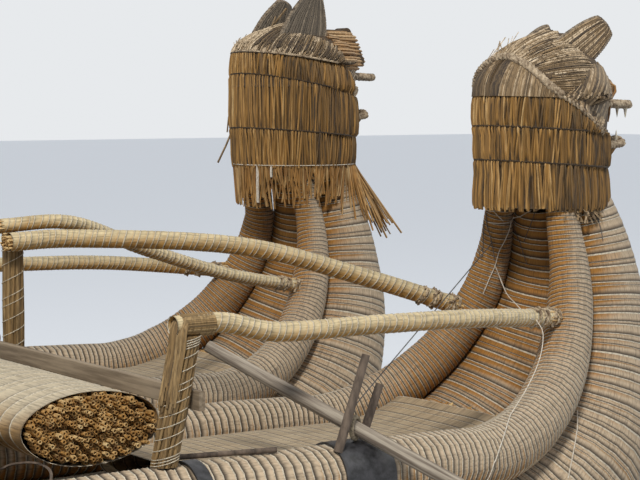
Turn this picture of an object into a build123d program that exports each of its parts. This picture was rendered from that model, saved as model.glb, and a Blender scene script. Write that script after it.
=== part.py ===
# A double-hulled reed boat, afloat, whose two bows end in big-cat heads woven from reeds.
# Frame: X forward to the bows, Y to port, Z up, millimetres.
# Origin: on the waterline, amidships, on the centreline between the two hulls.
import os
from collections import namedtuple
from math import cos, radians, sin, sqrt

from build123d import *

os.makedirs("parts", exist_ok=True)

TOUCH = 0.3  # seat clearance between pieces that rest on each other

# Hull bundles.
HULL_Y = 860.0  # each hull's centreline, to port and to starboard
MAIN_AXIS_Z = 22.0  # height of the big bundles' axes amidships
MAIN_FLAT = 0.917  # distance of the pressed flat from a big bundle's axis, over its radius
GUNWALE_LEAN = 23.0  # degrees that a gunwale bundle sits outboard of the top of its big bundle
BOW_TURN_X = 3230.0  # where the bow begins to turn up
BOW_TURN_RADIUS = 950.0
STERN_TURN_X = -3050.0  # where the stern begins to turn up
STERN_TURN_RADIUS = 1150.0
OAR_X = 2725.0  # pivots of the oars
FULL_BODY_X = OAR_X + 180.0  # the bundles keep their full thickness between plus and minus this

Station = namedtuple("Station", "turn run main outer inner lift")
# turn: degrees turned up from level; run: straight length beyond that turn
# main, outer, inner: radii of the big bundle and of the outboard and inboard gunwale bundles
# lift: how far the gunwale bundle stands off the big bundle there
AMIDSHIPS = Station(0.0, 0.0, 360.0, 115.0, 105.0, TOUCH)
BOW_STATIONS = (
    Station(0.0, 0.0, 350.0, 113.0, 103.0, 2.0),
    Station(18.0, 0.0, 338.0, 112.0, 101.0, 3.0),
    Station(36.0, 0.0, 312.0, 109.0, 98.0, 4.0),
    Station(54.0, 0.0, 272.0, 105.0, 95.0, 4.0),
    Station(72.0, 0.0, 222.0, 97.0, 88.0, 4.0),
    Station(88.0, 0.0, 174.0, 86.0, 78.0, 4.0),
    Station(104.0, 0.0, 136.0, 69.0, 63.0, 4.0),
)
STERN_STATIONS = (
    Station(0.0, 0.0, 350.0, 113.0, 103.0, 2.0),
    Station(12.0, 0.0, 339.0, 112.0, 102.0, 3.0),
    Station(24.0, 0.0, 318.0, 109.0, 99.0, 4.0),
    Station(36.0, 0.0, 287.0, 104.0, 95.0, 4.0),
    Station(48.0, 0.0, 246.0, 96.0, 89.0, 4.0),
    Station(60.0, 0.0, 200.0, 85.0, 80.0, 4.0),
    Station(72.0, 0.0, 150.0, 70.0, 66.0, 4.0),
)
STERN_TIP = Station(72.0, 230.0, 105.0, 55.0, 52.0, 4.0)
SPANS = 3  # spans of each smooth run between stations
NECK = Station(90.0, 0.0, 120.0, 60.0, 55.0, 4.0)  # where the bundles enter the head

BOW_END_TURN = radians(BOW_STATIONS[-1].turn)
BOW_END_X = BOW_TURN_X + BOW_TURN_RADIUS * sin(BOW_END_TURN)  # where the bow's turn ends
BOW_END_Z = MAIN_AXIS_Z + BOW_TURN_RADIUS * (1 - cos(BOW_END_TURN))

# Heads. Their heights are measured from BOW_END_Z.
HEAD_X = BOW_END_X - 131.8  # axis of the heads' reed bands
Head = namedtuple("Head", "name y skirt_z jowl_z brow_z crown_z top_z skirt_r jowl_r brow_r crown_r dome_shift")
# skirt_z, jowl_z, brow_z, crown_z: bottom of each band of upright reeds and of the dome
# top_z: top of the dome; skirt_r, jowl_r, brow_r, crown_r: the radii at the same four heights
# dome_shift: the dome's top stands this far forward of the bands' axis
HEADS = (
    Head("starboard", -HULL_Y, 90.2, 253.2, 385.2, 508.2, 760.2, 260.0, 249.0, 256.0, 263.0, 58.0),
    Head("port", HULL_Y, 202.2, 348.2, 558.2, 670.2, 838.2, 280.0, 284.0, 289.0, 284.0, 20.0),
)
Ear = namedtuple("Ear", "head side top_x top_y top_z low_x low_y low_z tip_x tip_y tip_z")
# top and low: ends of an ear's root on the dome; tip: its point; x and y from the head's axis
EARS = (
    Ear("starboard", -1, 0.0, 100.0, 733.2, 100.0, 145.0, 636.2, 185.0, 150.0, 788.2),
    Ear("starboard", 1, 0.0, 100.0, 733.2, 100.0, 145.0, 636.2, 170.0, 150.0, 758.2),
    Ear("port", -1, -150.0, 120.0, 808.2, 60.0, 150.0, 703.2, 18.0, 142.0, 972.2),
    Ear("port", 1, -150.0, 120.0, 808.2, 60.0, 150.0, 703.2, 24.0, 110.0, 948.2),
)
Mouth = namedtuple("Mouth", "head face_low_x face_mid_x nose_x nose_z bridge_x bridge_z upper_z lower_z teeth")
# face_low_x, face_mid_x, nose_x, bridge_x: how far the face stands forward of the head's axis
# upper_z, lower_z: mid-height of the two jaws
MOUTHS = (
    Mouth("starboard", 264.0, 298.0, 308.0, 528.2, 236.0, 633.2, 487.2, 324.2, True),
    Mouth("port", 290.0, 322.0, 345.0, 666.2, 288.0, 826.2, 610.2, 420.2, False),
)
BAND_STEP = 9.0  # each band overhangs the one below by this
DOME_TOP_R = 42.0
CHEEK_TOP_X = -76.0  # where the band behind the face stops, above and below
CHEEK_LOW_X = 93.0
FACE_WIDTH = 236.0  # half-widths of the face at its foot, at the nose and at the bridge
NOSE_WIDTH = 165.0
BRIDGE_WIDTH = 78.0
BROW_ROLLS = 5  # rolled reeds laid across the forehead
BROW_ROLL_R = 27.0
EYE_R = 44.0
EYE_X = 200.0
EYE_Y = 128.0
EAR_THICK = 44.0
EAR_TIP_WIDTH = 82.0
EAR_ROOT = 45.0  # how deep an ear is let into the dome
JAW_THICK = 27.0
UPPER_JAW_REACH = 450.0
LOWER_JAW_REACH = 402.0
JAW_ROOT_X = 150.0
JAW_ROOT_WIDTH = 230.0
JAW_TIP_WIDTH = 104.0
CHIN_DROP = 92.0
CHIN_WIDTH = 84.0
TOOTH_LENGTH = 44.0
TOOTH_R = 8.5
UPPER_TEETH = ((398.0, 52.0), (428.0, 24.0))  # x from the head's axis, and distance either side
LOWER_TEETH = ((362.0, 40.0),)
FRINGE_REACH = 286.0  # outer radius of the ring that the fringe hangs from, round the neck
FRINGE_STALKS = 26
FRINGE_DROP = 235.0
FRINGE_FRONT_DROP = 200.0  # so much longer at the front
FRINGE_STALK_R = 11.0
FRINGE_FLARE = 6.0  # degrees outward
FRINGE_FRONT_FLARE = 30.0  # and as much more at the front
FRINGE_RING = 15.0

# Thwarts, deck and pads.
THWART_X = 1880.0  # centre of the front thwart, and of the rear one aft of amidships
THWART_LENGTH = 490.0  # fore and aft
THWART_HEIGHT = 236.0
THWART_REACH = 1150.0  # cut ends, to port and to starboard
DECK_BUNDLE_R = 78.0
DECK_BUNDLE_PITCH = 157.0
DECK_BUNDLES = 20
DECK_REACH = 1120.0
PAD_START_X = 2240.0  # reed pad that lies between the gunwales of each hull
PAD_THICK = 105.0
PAD_WIDTH = 672.0
PAD_LIFT = 4.0  # gap under the pad where the bow turns up

# Posts, rails and bar.
OUTER_POST_R = 44.0
OUTER_POST_TOP_Z = 975.0
POST_LEAN = 0.216  # forward lean of the outer posts, per unit of height
CENTRE_POST_R = 40.0
CENTRE_POST_TOP_Z = 1210.0
CENTRE_POST_FOOT_Z = 580.0
BAR_HEIGHT = 62.0
BAR_THICK = 22.0
BAR_Z = 775.0
BAR_OVERHANG = 55.0
RAIL_OVERHANG = 52.0  # rails run this far aft of their posts
RAIL_BEND = 800.0
Rail = namedtuple("Rail", "name hull place radius start_z level points end")
# level: level run of the rail forward of its post
# points: x, distance from the centreline and z of the rail's axis after that
# end: where it enters a gunwale bundle, in degrees round the bow's turn, distance from the
# centreline, and distance from the big bundles' axes towards the centre of the turn
RAILS = (
    Rail(
        "rail_outer", 1, "outer", 32.5, None, 130.0,
        ((2440, 1372, 961.5), (2820, 1365, 957), (3300, 1328, 941)), (82.0, 1150, 303.7),
    ),
    Rail(
        "rail_starboard", -1, "inner", 35.0, 1182.0, 250.0,
        ((3000, 265, 1140), (3450, 435, 1012)), (80.4, 585, 265.4),
    ),
    Rail(
        "rail_port", 1, "inner", 27.0, None, 250.0,
        ((2870, 235, 1098), (3360, 395, 958)), (79.8, 583, 264.1),
    ),
)
STAY_R = 2.0
STAY_RISE = 40.0  # the stay is tied to the tall pin this far above the oar's pivot

# Oars and thole pins.
WRAP_THICK = 8.0  # rubber strap wound round the gunwale
WRAP_CLEAR = 3.0  # the strap stops this far from the big bundle
WRAPS = ((-100.0, 200.0), (-650.0, 52.0))  # where each wrap begins, from the oar, and its length
OAR_OUT = 24.0  # the oar's pivot stands this far outboard of the gunwale's crown
OAR_HEADING = 57.0  # degrees outboard of dead ahead, at rest
OAR_DIP = 24.5  # degrees below level, at rest
GRIP_R = 20.5
LOOM_R = 24.0
LOOM_THICK_R = 27.0
LOOM_NECK_R = 21.0
LOOM_IN = 590.0
LOOM_THICK_AT = 900.0
LOOM_OUT = 2400.0
LOOM_BEARING = 70.0  # half-length of the plain stretch at the pivot
BLADE_START = 2080.0
BLADE_LENGTH = 620.0
BLADE_WIDTH = 165.0
BLADE_NECK_WIDTH = 70.0
BLADE_THICK = 20.0
GROMMET_R = 8.0
GROMMET_LIFT = 0.6  # running gap between the rope ring and the wrap under it
PIN_R = 16.0
PIN_TOP_R = 13.5
PIN_SPREAD = 160.0
PIN_LINE = 26.0  # degrees that the line between the two pins turns inboard from dead ahead
PIN_SUNK = 70.0  # driven into the gunwale bundle, measured down from the oar's height
PINS = ((-1, 262.0, 20.0), (1, 142.0, 23.0))  # aft or forward, height above the oar, forward lean

STICK_R = 9.0  # loose lashing stick on the starboard gunwale
STICK_LENGTH = 330.0
STICK_X = OAR_X - 630.0
STICK_Y = 1317.0
STICK_TURN = 13.0  # degrees


def section_plane(x, y, z, along_x, along_z):
    """Plane across a bundle; its own X runs to port and its own Y away from the big bundle's keel."""
    return Plane(origin=(x, y, z), x_dir=(0, 1, 0), z_dir=(along_x, 0, along_z))


def bow_plane(hull, station):
    """Section plane at a bow station, centred between the hull's two big bundles."""
    a = radians(station.turn)
    x = BOW_TURN_X + BOW_TURN_RADIUS * sin(a) + station.run * cos(a)
    z = MAIN_AXIS_Z + BOW_TURN_RADIUS * (1 - cos(a)) + station.run * sin(a)
    return section_plane(x, hull, z, cos(a), sin(a))


def stern_plane(hull, station):
    """The same at the stern, where the bundles run aft and turn up."""
    a = radians(station.turn)
    x = STERN_TURN_X - STERN_TURN_RADIUS * sin(a) - station.run * cos(a)
    z = MAIN_AXIS_Z + STERN_TURN_RADIUS * (1 - cos(a)) + station.run * sin(a)
    return section_plane(x, hull, z, cos(a), -sin(a))


def gunwale_offset(main, rail, lift):
    """Sideways and upward distance of a gunwale bundle's axis from the hull's centreline."""
    reach = main + rail + lift
    lean = radians(GUNWALE_LEAN)
    return MAIN_FLAT * main + reach * sin(lean), reach * cos(lean)


def main_section(plane, side, radius):
    """Round section with a flat where the two big bundles of one hull press together."""
    off = MAIN_FLAT * radius
    half = sqrt(radius**2 - off**2)
    with BuildSketch(plane) as section:
        with BuildLine():
            ThreePointArc((0, -half), (side * (off + radius), 0), (0, half))
            Line((0, half), (0, -half))
        make_face()
    return section.sketch


def rail_section(plane, side, station, rail):
    """Round section of a gunwale bundle, seated on its big bundle."""
    out, up = gunwale_offset(station.main, rail, station.lift)
    with BuildSketch(plane) as section:
        with BuildLine():
            ThreePointArc((side * out, up - rail), (side * out + rail, up), (side * out, up + rail))
            ThreePointArc((side * out, up + rail), (side * out - rail, up), (side * out, up - rail))
        make_face()
    return section.sketch


def neck_plane(hull, top_z):
    """Level plane where a hull's bundles are cut off under the head; its own Y runs aft."""
    last = bow_plane(hull, BOW_STATIONS[-1])
    run = (top_z - last.origin.Z) / last.z_dir.Z
    x = last.origin.X + run * last.z_dir.X
    return Plane(origin=(x, hull, top_z), x_dir=(0, 1, 0), z_dir=(0, 0, 1))


def over_axis(turn, rise):
    """Point at a turn of the bow, that far from the big bundles' axes, in the side view."""
    a = radians(turn)
    reach = BOW_TURN_RADIUS - rise
    return BOW_TURN_X + reach * sin(a), MAIN_AXIS_Z + BOW_TURN_RADIUS - reach * cos(a)


def bundle(section, hull, neck, label):
    """One long bundle: level amidships, tapering and turning up to the neck and to the tail."""
    aft = section(section_plane(-FULL_BODY_X, hull, MAIN_AXIS_Z, 1, 0), AMIDSHIPS)
    fore = section(section_plane(FULL_BODY_X, hull, MAIN_AXIS_Z, 1, 0), AMIDSHIPS)
    bow = [section(bow_plane(hull, st), st) for st in BOW_STATIONS]
    stern = [section(stern_plane(hull, st), st) for st in reversed(STERN_STATIONS)]
    tip = section(stern_plane(hull, STERN_TIP), STERN_TIP)
    with BuildPart() as long_bundle:
        extrude(aft, amount=2 * FULL_BODY_X, dir=(1, 0, 0))
        loft([fore, bow[0]], ruled=True)
        for first in range(0, len(bow) - SPANS, SPANS):
            loft(bow[first : first + SPANS + 1])
        loft([bow[-1], section(neck, NECK)], ruled=True)
        loft([tip, stern[0]], ruled=True)
        for first in range(0, len(stern) - SPANS, SPANS):
            loft(stern[first : first + SPANS + 1])
        loft([stern[-1], aft], ruled=True)
    long_bundle.part.label = label
    export_step(long_bundle.part, f"parts/{label}.step")
    return long_bundle.part


# Hulls: two big bundles and two gunwale bundles each.
hulls = {}
for head in HEADS:
    hull = head.y
    neck = neck_plane(hull, BOW_END_Z + head.skirt_z)
    for side in (-1, 1):
        outer = hull * side > 0
        place = "outer" if outer else "inner"

        def main_at(plane, station, side=side):
            return main_section(plane, side, station.main)

        def gunwale_at(plane, station, side=side, outer=outer):
            return rail_section(plane, side, station, station.outer if outer else station.inner)

        for piece, section in (("main", main_at), ("gunwale", gunwale_at)):
            name = f"{head.name}_{piece}_{place}"
            hulls[name] = bundle(section, hull, neck, name)

inner_out, inner_up = gunwale_offset(AMIDSHIPS.main, AMIDSHIPS.inner, AMIDSHIPS.lift)
outer_out, outer_up = gunwale_offset(AMIDSHIPS.main, AMIDSHIPS.outer, AMIDSHIPS.lift)
INNER_CROWN_Z = MAIN_AXIS_Z + inner_up + AMIDSHIPS.inner
OUTER_CROWN_Z = MAIN_AXIS_Z + outer_up + AMIDSHIPS.outer
OUTER_CROWN_Y = HULL_Y + outer_out

# Reed pads between the gunwales.
for head in HEADS:
    under = [over_axis(st.turn, st.main + PAD_LIFT) for st in BOW_STATIONS[:3]]
    above = [over_axis(st.turn, st.main + PAD_LIFT + PAD_THICK) for st in BOW_STATIONS[:3]]
    crown = MAIN_AXIS_Z + AMIDSHIPS.main + TOUCH
    with BuildPart() as pad:
        with BuildSketch(Plane(origin=(0, head.y, 0), x_dir=(1, 0, 0), z_dir=(0, -1, 0))):
            with BuildLine():
                Polyline((FULL_BODY_X, crown), (PAD_START_X, crown), (PAD_START_X, crown + PAD_THICK))
                Line((PAD_START_X, crown + PAD_THICK), (FULL_BODY_X, crown + PAD_THICK))
                Line((FULL_BODY_X, crown + PAD_THICK), above[0])
                ThreePointArc(*above)
                Line(above[-1], under[-1])
                ThreePointArc(*reversed(under))
                Line(under[0], (FULL_BODY_X, crown))
            make_face()
        extrude(amount=PAD_WIDTH / 2, both=True)
    pad.part.label = f"{head.name}_floor_pad"
    export_step(pad.part, f"parts/{pad.part.label}.step")

# Thwarts and deck bundles.
for name, x in (("thwart_front", THWART_X), ("thwart_rear", -THWART_X)):
    middle = (x, -THWART_REACH, INNER_CROWN_Z + TOUCH + THWART_HEIGHT / 2)
    with BuildPart() as thwart:
        with BuildSketch(Plane(origin=middle, x_dir=(1, 0, 0), z_dir=(0, 1, 0))):
            Ellipse(THWART_LENGTH / 2, THWART_HEIGHT / 2)
        extrude(amount=2 * THWART_REACH)
    thwart.part.label = name
    export_step(thwart.part, f"parts/{name}.step")

deck_start = (0, -DECK_REACH, INNER_CROWN_Z + TOUCH + DECK_BUNDLE_R)
with BuildPart() as deck:
    with BuildSketch(Plane(origin=deck_start, x_dir=(1, 0, 0), z_dir=(0, 1, 0))):
        with GridLocations(DECK_BUNDLE_PITCH, 1, DECK_BUNDLES, 1):
            Circle(DECK_BUNDLE_R)
    extrude(amount=2 * DECK_REACH)
deck.part.label = "deck_bundles"
export_step(deck.part, "parts/deck_bundles.step")

# Heads.
for head, mouth in zip(HEADS, MOUTHS):
    at = Vector(HEAD_X, head.y, BOW_END_Z)
    bands = []
    for name, low_z, low_r, high_z, high_r in (
        ("skirt_band", head.skirt_z, head.skirt_r, head.jowl_z, head.jowl_r),
        ("jowl_band", head.jowl_z, head.jowl_r + BAND_STEP, head.brow_z, head.brow_r),
        ("brow_band", head.brow_z, head.brow_r + BAND_STEP, head.crown_z, head.crown_r),
    ):
        with BuildPart() as band:
            with Locations(at + Vector(0, 0, low_z)):
                Cone(low_r, high_r, high_z - low_z, align=(Align.CENTER, Align.CENTER, Align.MIN))
            if name == "brow_band":
                slant = Plane(
                    origin=at + Vector(CHEEK_LOW_X, 0, head.brow_z),
                    x_dir=(0, 1, 0),
                    z_dir=(head.crown_z - head.brow_z, 0, CHEEK_LOW_X - CHEEK_TOP_X),
                )
                split(bisect_by=slant, keep=Keep.BOTTOM)
        band.part.label = f"{head.name}_head_{name}"
        export_step(band.part, f"parts/{band.part.label}.step")
        bands.append(band.part)

    rise = head.top_z - head.crown_z
    dome_rings = []
    for up, wide, ahead in ((0.0, 1.0, 0.0), (0.36, 0.91, 0.0), (0.64, 0.7, 0.17), (0.86, 0.4, 0.5)):
        centre = at + Vector(ahead * head.dome_shift, 0, head.crown_z + up * rise)
        with BuildSketch(Plane(origin=centre)) as ring:
            Circle(wide * head.crown_r)
        dome_rings.append(ring.sketch)
    with BuildSketch(Plane(origin=at + Vector(head.dome_shift, 0, head.top_z))) as ring:
        Circle(DOME_TOP_R)
    with BuildPart() as dome:
        loft(dome_rings)
        loft([dome_rings[-1], ring.sketch], ruled=True)
    dome.part.label = f"{head.name}_head_dome"
    export_step(dome.part, f"parts/{dome.part.label}.step")

    # the face: widest at its foot, out to the nose, and back up the bridge between the ears
    with BuildPart() as face:
        rings = []
        for z, front, half_width in (
            (head.brow_z, mouth.face_low_x, FACE_WIDTH),
            ((head.brow_z + mouth.nose_z) / 2, mouth.face_mid_x, (FACE_WIDTH + NOSE_WIDTH) / 2),
            (mouth.nose_z, mouth.nose_x, NOSE_WIDTH),
            (mouth.bridge_z, mouth.bridge_x, BRIDGE_WIDTH),
        ):
            with BuildSketch(Plane(origin=at + Vector(0, 0, z))) as ring:
                Ellipse(front, half_width)
            rings.append(ring.sketch)
        loft(rings)
        for roll in range(BROW_ROLLS):
            share = (roll + 0.5) / BROW_ROLLS
            x = mouth.nose_x + (mouth.bridge_x - mouth.nose_x) * share - BROW_ROLL_R / 2
            z = mouth.nose_z + (mouth.bridge_z - mouth.nose_z) * share
            half = NOSE_WIDTH + (BRIDGE_WIDTH - NOSE_WIDTH) * share - BROW_ROLL_R
            with Locations(Location(at + Vector(x, 0, z), (90, 0, 0))):
                Cylinder(BROW_ROLL_R, 1.2 * half)
        with Locations(*[at + Vector(EYE_X, s * EYE_Y, mouth.nose_z + 1.5 * EYE_R) for s in (-1, 1)]):
            Sphere(EYE_R, mode=Mode.SUBTRACT)
        split(bisect_by=slant, keep=Keep.TOP)
        split(bisect_by=Plane(origin=at + Vector(head.dome_shift, 0, 0), z_dir=(1, 0, 0)), keep=Keep.TOP)
        add(dome.part, mode=Mode.SUBTRACT)
    face.part.label = f"{head.name}_head_face"
    export_step(face.part, f"parts/{face.part.label}.step")

    with BuildPart() as ears:
        for ear in EARS:
            if ear.head == head.name:
                top = at + Vector(ear.top_x, ear.side * ear.top_y, ear.top_z)
                low = at + Vector(ear.low_x, ear.side * ear.low_y, ear.low_z)
                tip = at + Vector(ear.tip_x, ear.side * ear.tip_y, ear.tip_z)
                root = (top + low) / 2
                up = (tip - root).normalized()
                wide = (low - top).length
                tall = (tip - root).length
                across = low - top - up * (low - top).dot(up)
                rings = []
                for height, width, thick in (
                    (-EAR_ROOT, wide, EAR_THICK),
                    (tall / 2, (wide + EAR_TIP_WIDTH) * 0.56, EAR_THICK * 0.8),
                    (tall, EAR_TIP_WIDTH, EAR_THICK / 2),
                ):
                    with BuildSketch(Plane(origin=root + up * height, x_dir=across, z_dir=up)) as ring:
                        Ellipse(width / 2, thick / 2)
                    rings.append(ring.sketch)
                loft(rings)
        add(dome.part, mode=Mode.SUBTRACT)
        add(face.part, mode=Mode.SUBTRACT)
    ears.part.label = f"{head.name}_head_ears"
    export_step(ears.part, f"parts/{ears.part.label}.step")

    for name, z, reach in (
        ("upper_jaw", mouth.upper_z, UPPER_JAW_REACH),
        ("lower_jaw", mouth.lower_z, LOWER_JAW_REACH),
    ):
        with BuildPart() as jaw:
            with BuildSketch(Plane(origin=at + Vector(0, 0, z - JAW_THICK / 2))) as outline:
                with BuildLine():
                    Polyline(
                        (JAW_ROOT_X, JAW_ROOT_WIDTH / 2),
                        (JAW_ROOT_X, -JAW_ROOT_WIDTH / 2),
                        (reach, -JAW_TIP_WIDTH / 2),
                        (reach, JAW_TIP_WIDTH / 2),
                        close=True,
                    )
                make_face()
                fillet(outline.vertices().group_by(Axis.X)[-1], JAW_TIP_WIDTH * 0.42)
            extrude(amount=JAW_THICK)
            fillet(jaw.edges().filter_by(Plane.XY).group_by(Axis.X)[-1], JAW_THICK * 0.4)
            if name == "lower_jaw":
                chin = Plane(origin=at, x_dir=(1, 0, 0), z_dir=(0, -1, 0))
                with BuildSketch(chin):
                    with BuildLine():
                        Polyline(
                            (JAW_ROOT_X, z),
                            (reach - JAW_THICK, z),
                            (JAW_ROOT_X + (reach - JAW_ROOT_X) / 2, z - CHIN_DROP),
                            (JAW_ROOT_X, z - CHIN_DROP),
                            close=True,
                        )
                    make_face()
                extrude(amount=CHIN_WIDTH / 2, both=True)
                for band in bands:
                    add(band, mode=Mode.SUBTRACT)
            else:
                add(face.part, mode=Mode.SUBTRACT)
                add(bands[2], mode=Mode.SUBTRACT)
        jaw.part.label = f"{head.name}_head_{name}"
        export_step(jaw.part, f"parts/{jaw.part.label}.step")

    if mouth.teeth:
        with BuildPart() as teeth:
            hang = mouth.upper_z - JAW_THICK / 2
            stand = mouth.lower_z + JAW_THICK / 2
            with Locations(*[at + Vector(x, s * y, hang) for x, y in UPPER_TEETH for s in (-1, 1)]):
                Cone(0.6, TOOTH_R, TOOTH_LENGTH, align=(Align.CENTER, Align.CENTER, Align.MAX))
            with Locations(*[at + Vector(x, s * y, stand) for x, y in LOWER_TEETH for s in (-1, 1)]):
                Cone(TOOTH_R, 0.6, TOOTH_LENGTH, align=(Align.CENTER, Align.CENTER, Align.MIN))
        teeth.part.label = f"{head.name}_head_teeth"
        export_step(teeth.part, f"parts/{teeth.part.label}.step")

# Fringe under the port head.
head = HEADS[1]
at = Vector(HEAD_X, head.y, BOW_END_Z + head.skirt_z)
with BuildPart() as fringe:
    with BuildSketch(Plane(origin=at)):
        Circle(FRINGE_REACH)
        Circle(FRINGE_REACH - FRINGE_RING, mode=Mode.SUBTRACT)
    extrude(amount=-FRINGE_RING)
    for stalk in range(FRINGE_STALKS):
        turn = radians(360 * stalk / FRINGE_STALKS)
        ahead = max(0, cos(turn)) ** 2
        flare = radians(FRINGE_FLARE + FRINGE_FRONT_FLARE * ahead)
        drop = FRINGE_DROP + FRINGE_FRONT_DROP * ahead
        out = Vector(cos(turn), sin(turn), 0)
        root = at + out * (FRINGE_REACH - FRINGE_RING / 2) - Vector(0, 0, FRINGE_RING / 2)
        down = out * sin(flare) - Vector(0, 0, cos(flare))
        with Locations(Plane(origin=root, z_dir=down)):
            Cone(FRINGE_RING / 2, FRINGE_STALK_R, drop, align=(Align.CENTER, Align.CENTER, Align.MIN))
fringe.part.label = "port_head_fringe"
export_step(fringe.part, "parts/port_head_fringe.step")

# Posts and the bar between them.
centre_post_x = THWART_X + THWART_LENGTH / 2 + TOUCH + CENTRE_POST_R
bar_front_x = centre_post_x - CENTRE_POST_R - TOUCH
bar_top_z = BAR_Z + BAR_HEIGHT / 2
post_foot_z = OUTER_CROWN_Z + TOUCH
post_foot_x = bar_front_x - BAR_THICK - TOUCH - OUTER_POST_R - POST_LEAN * (bar_top_z - post_foot_z)
for name, side in (("starboard_post", -1), ("port_post", 1)):
    tall = OUTER_POST_TOP_Z - post_foot_z
    with BuildPart() as post:
        with BuildSketch(Plane(origin=(post_foot_x, side * OUTER_CROWN_Y, post_foot_z))) as foot:
            Circle(OUTER_POST_R)
        extrude(amount=tall * sqrt(1 + POST_LEAN**2), dir=(POST_LEAN, 0, 1))
    post.part.label = name
    export_step(post.part, f"parts/{name}.step")

with BuildPart() as centre_post:
    with BuildSketch(Plane(origin=(centre_post_x, 0, CENTRE_POST_FOOT_Z))):
        Circle(CENTRE_POST_R)
    extrude(amount=CENTRE_POST_TOP_Z - CENTRE_POST_FOOT_Z)
centre_post.part.label = "centre_post"
export_step(centre_post.part, "parts/centre_post.step")

bar_reach = OUTER_CROWN_Y + 2 * BAR_OVERHANG
with BuildPart() as bar:
    with Locations((bar_front_x - BAR_THICK / 2, BAR_OVERHANG, BAR_Z)):
        Box(BAR_THICK, bar_reach, BAR_HEIGHT, align=(Align.CENTER, Align.MAX, Align.CENTER))
    chamfer(bar.edges().filter_by(Axis.Y), BAR_THICK * 0.15)
bar.part.label = "back_bar"
export_step(bar.part, "parts/back_bar.step")

# Rails.
outer_post_top_x = post_foot_x + POST_LEAN * (OUTER_POST_TOP_Z - post_foot_z)
for rail in RAILS:
    for side in (-1, 1) if rail.place == "outer" else (rail.hull,):
        if rail.place == "outer":
            post_x, post_y = outer_post_top_x, OUTER_CROWN_Y
            start_z = OUTER_POST_TOP_Z + TOUCH + rail.radius
            name = "starboard_rail_outer" if side < 0 else "port_rail_outer"
        elif rail.start_z is None:
            post_x, post_y = centre_post_x, 0
            start_z = CENTRE_POST_TOP_Z + TOUCH + rail.radius
            name = rail.name
        else:
            post_x, post_y = centre_post_x, CENTRE_POST_R + TOUCH + rail.radius
            start_z = rail.start_z
            name = rail.name
        end_turn, end_y, end_rise = rail.end
        end_x, end_z = over_axis(end_turn, end_rise)
        route = [
            (post_x - RAIL_OVERHANG, side * post_y, start_z),
            (post_x + rail.level, side * post_y, start_z),
            *[(x, side * y, z) for x, y, z in rail.points],
            (end_x, side * end_y, end_z),
        ]
        with BuildPart() as rail_bundle:
            with BuildLine() as axis:
                FilletPolyline(*route, radius=RAIL_BEND)
            with BuildSketch(Plane(origin=axis.line @ 0, z_dir=axis.line % 0)):
                Circle(rail.radius)
            sweep()
            hull_name = "starboard" if side < 0 else "port"
            add(hulls[f"{hull_name}_gunwale_{rail.place}"], mode=Mode.SUBTRACT)
        rail_bundle.part.label = name
        export_step(rail_bundle.part, f"parts/{name}.step")

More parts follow.
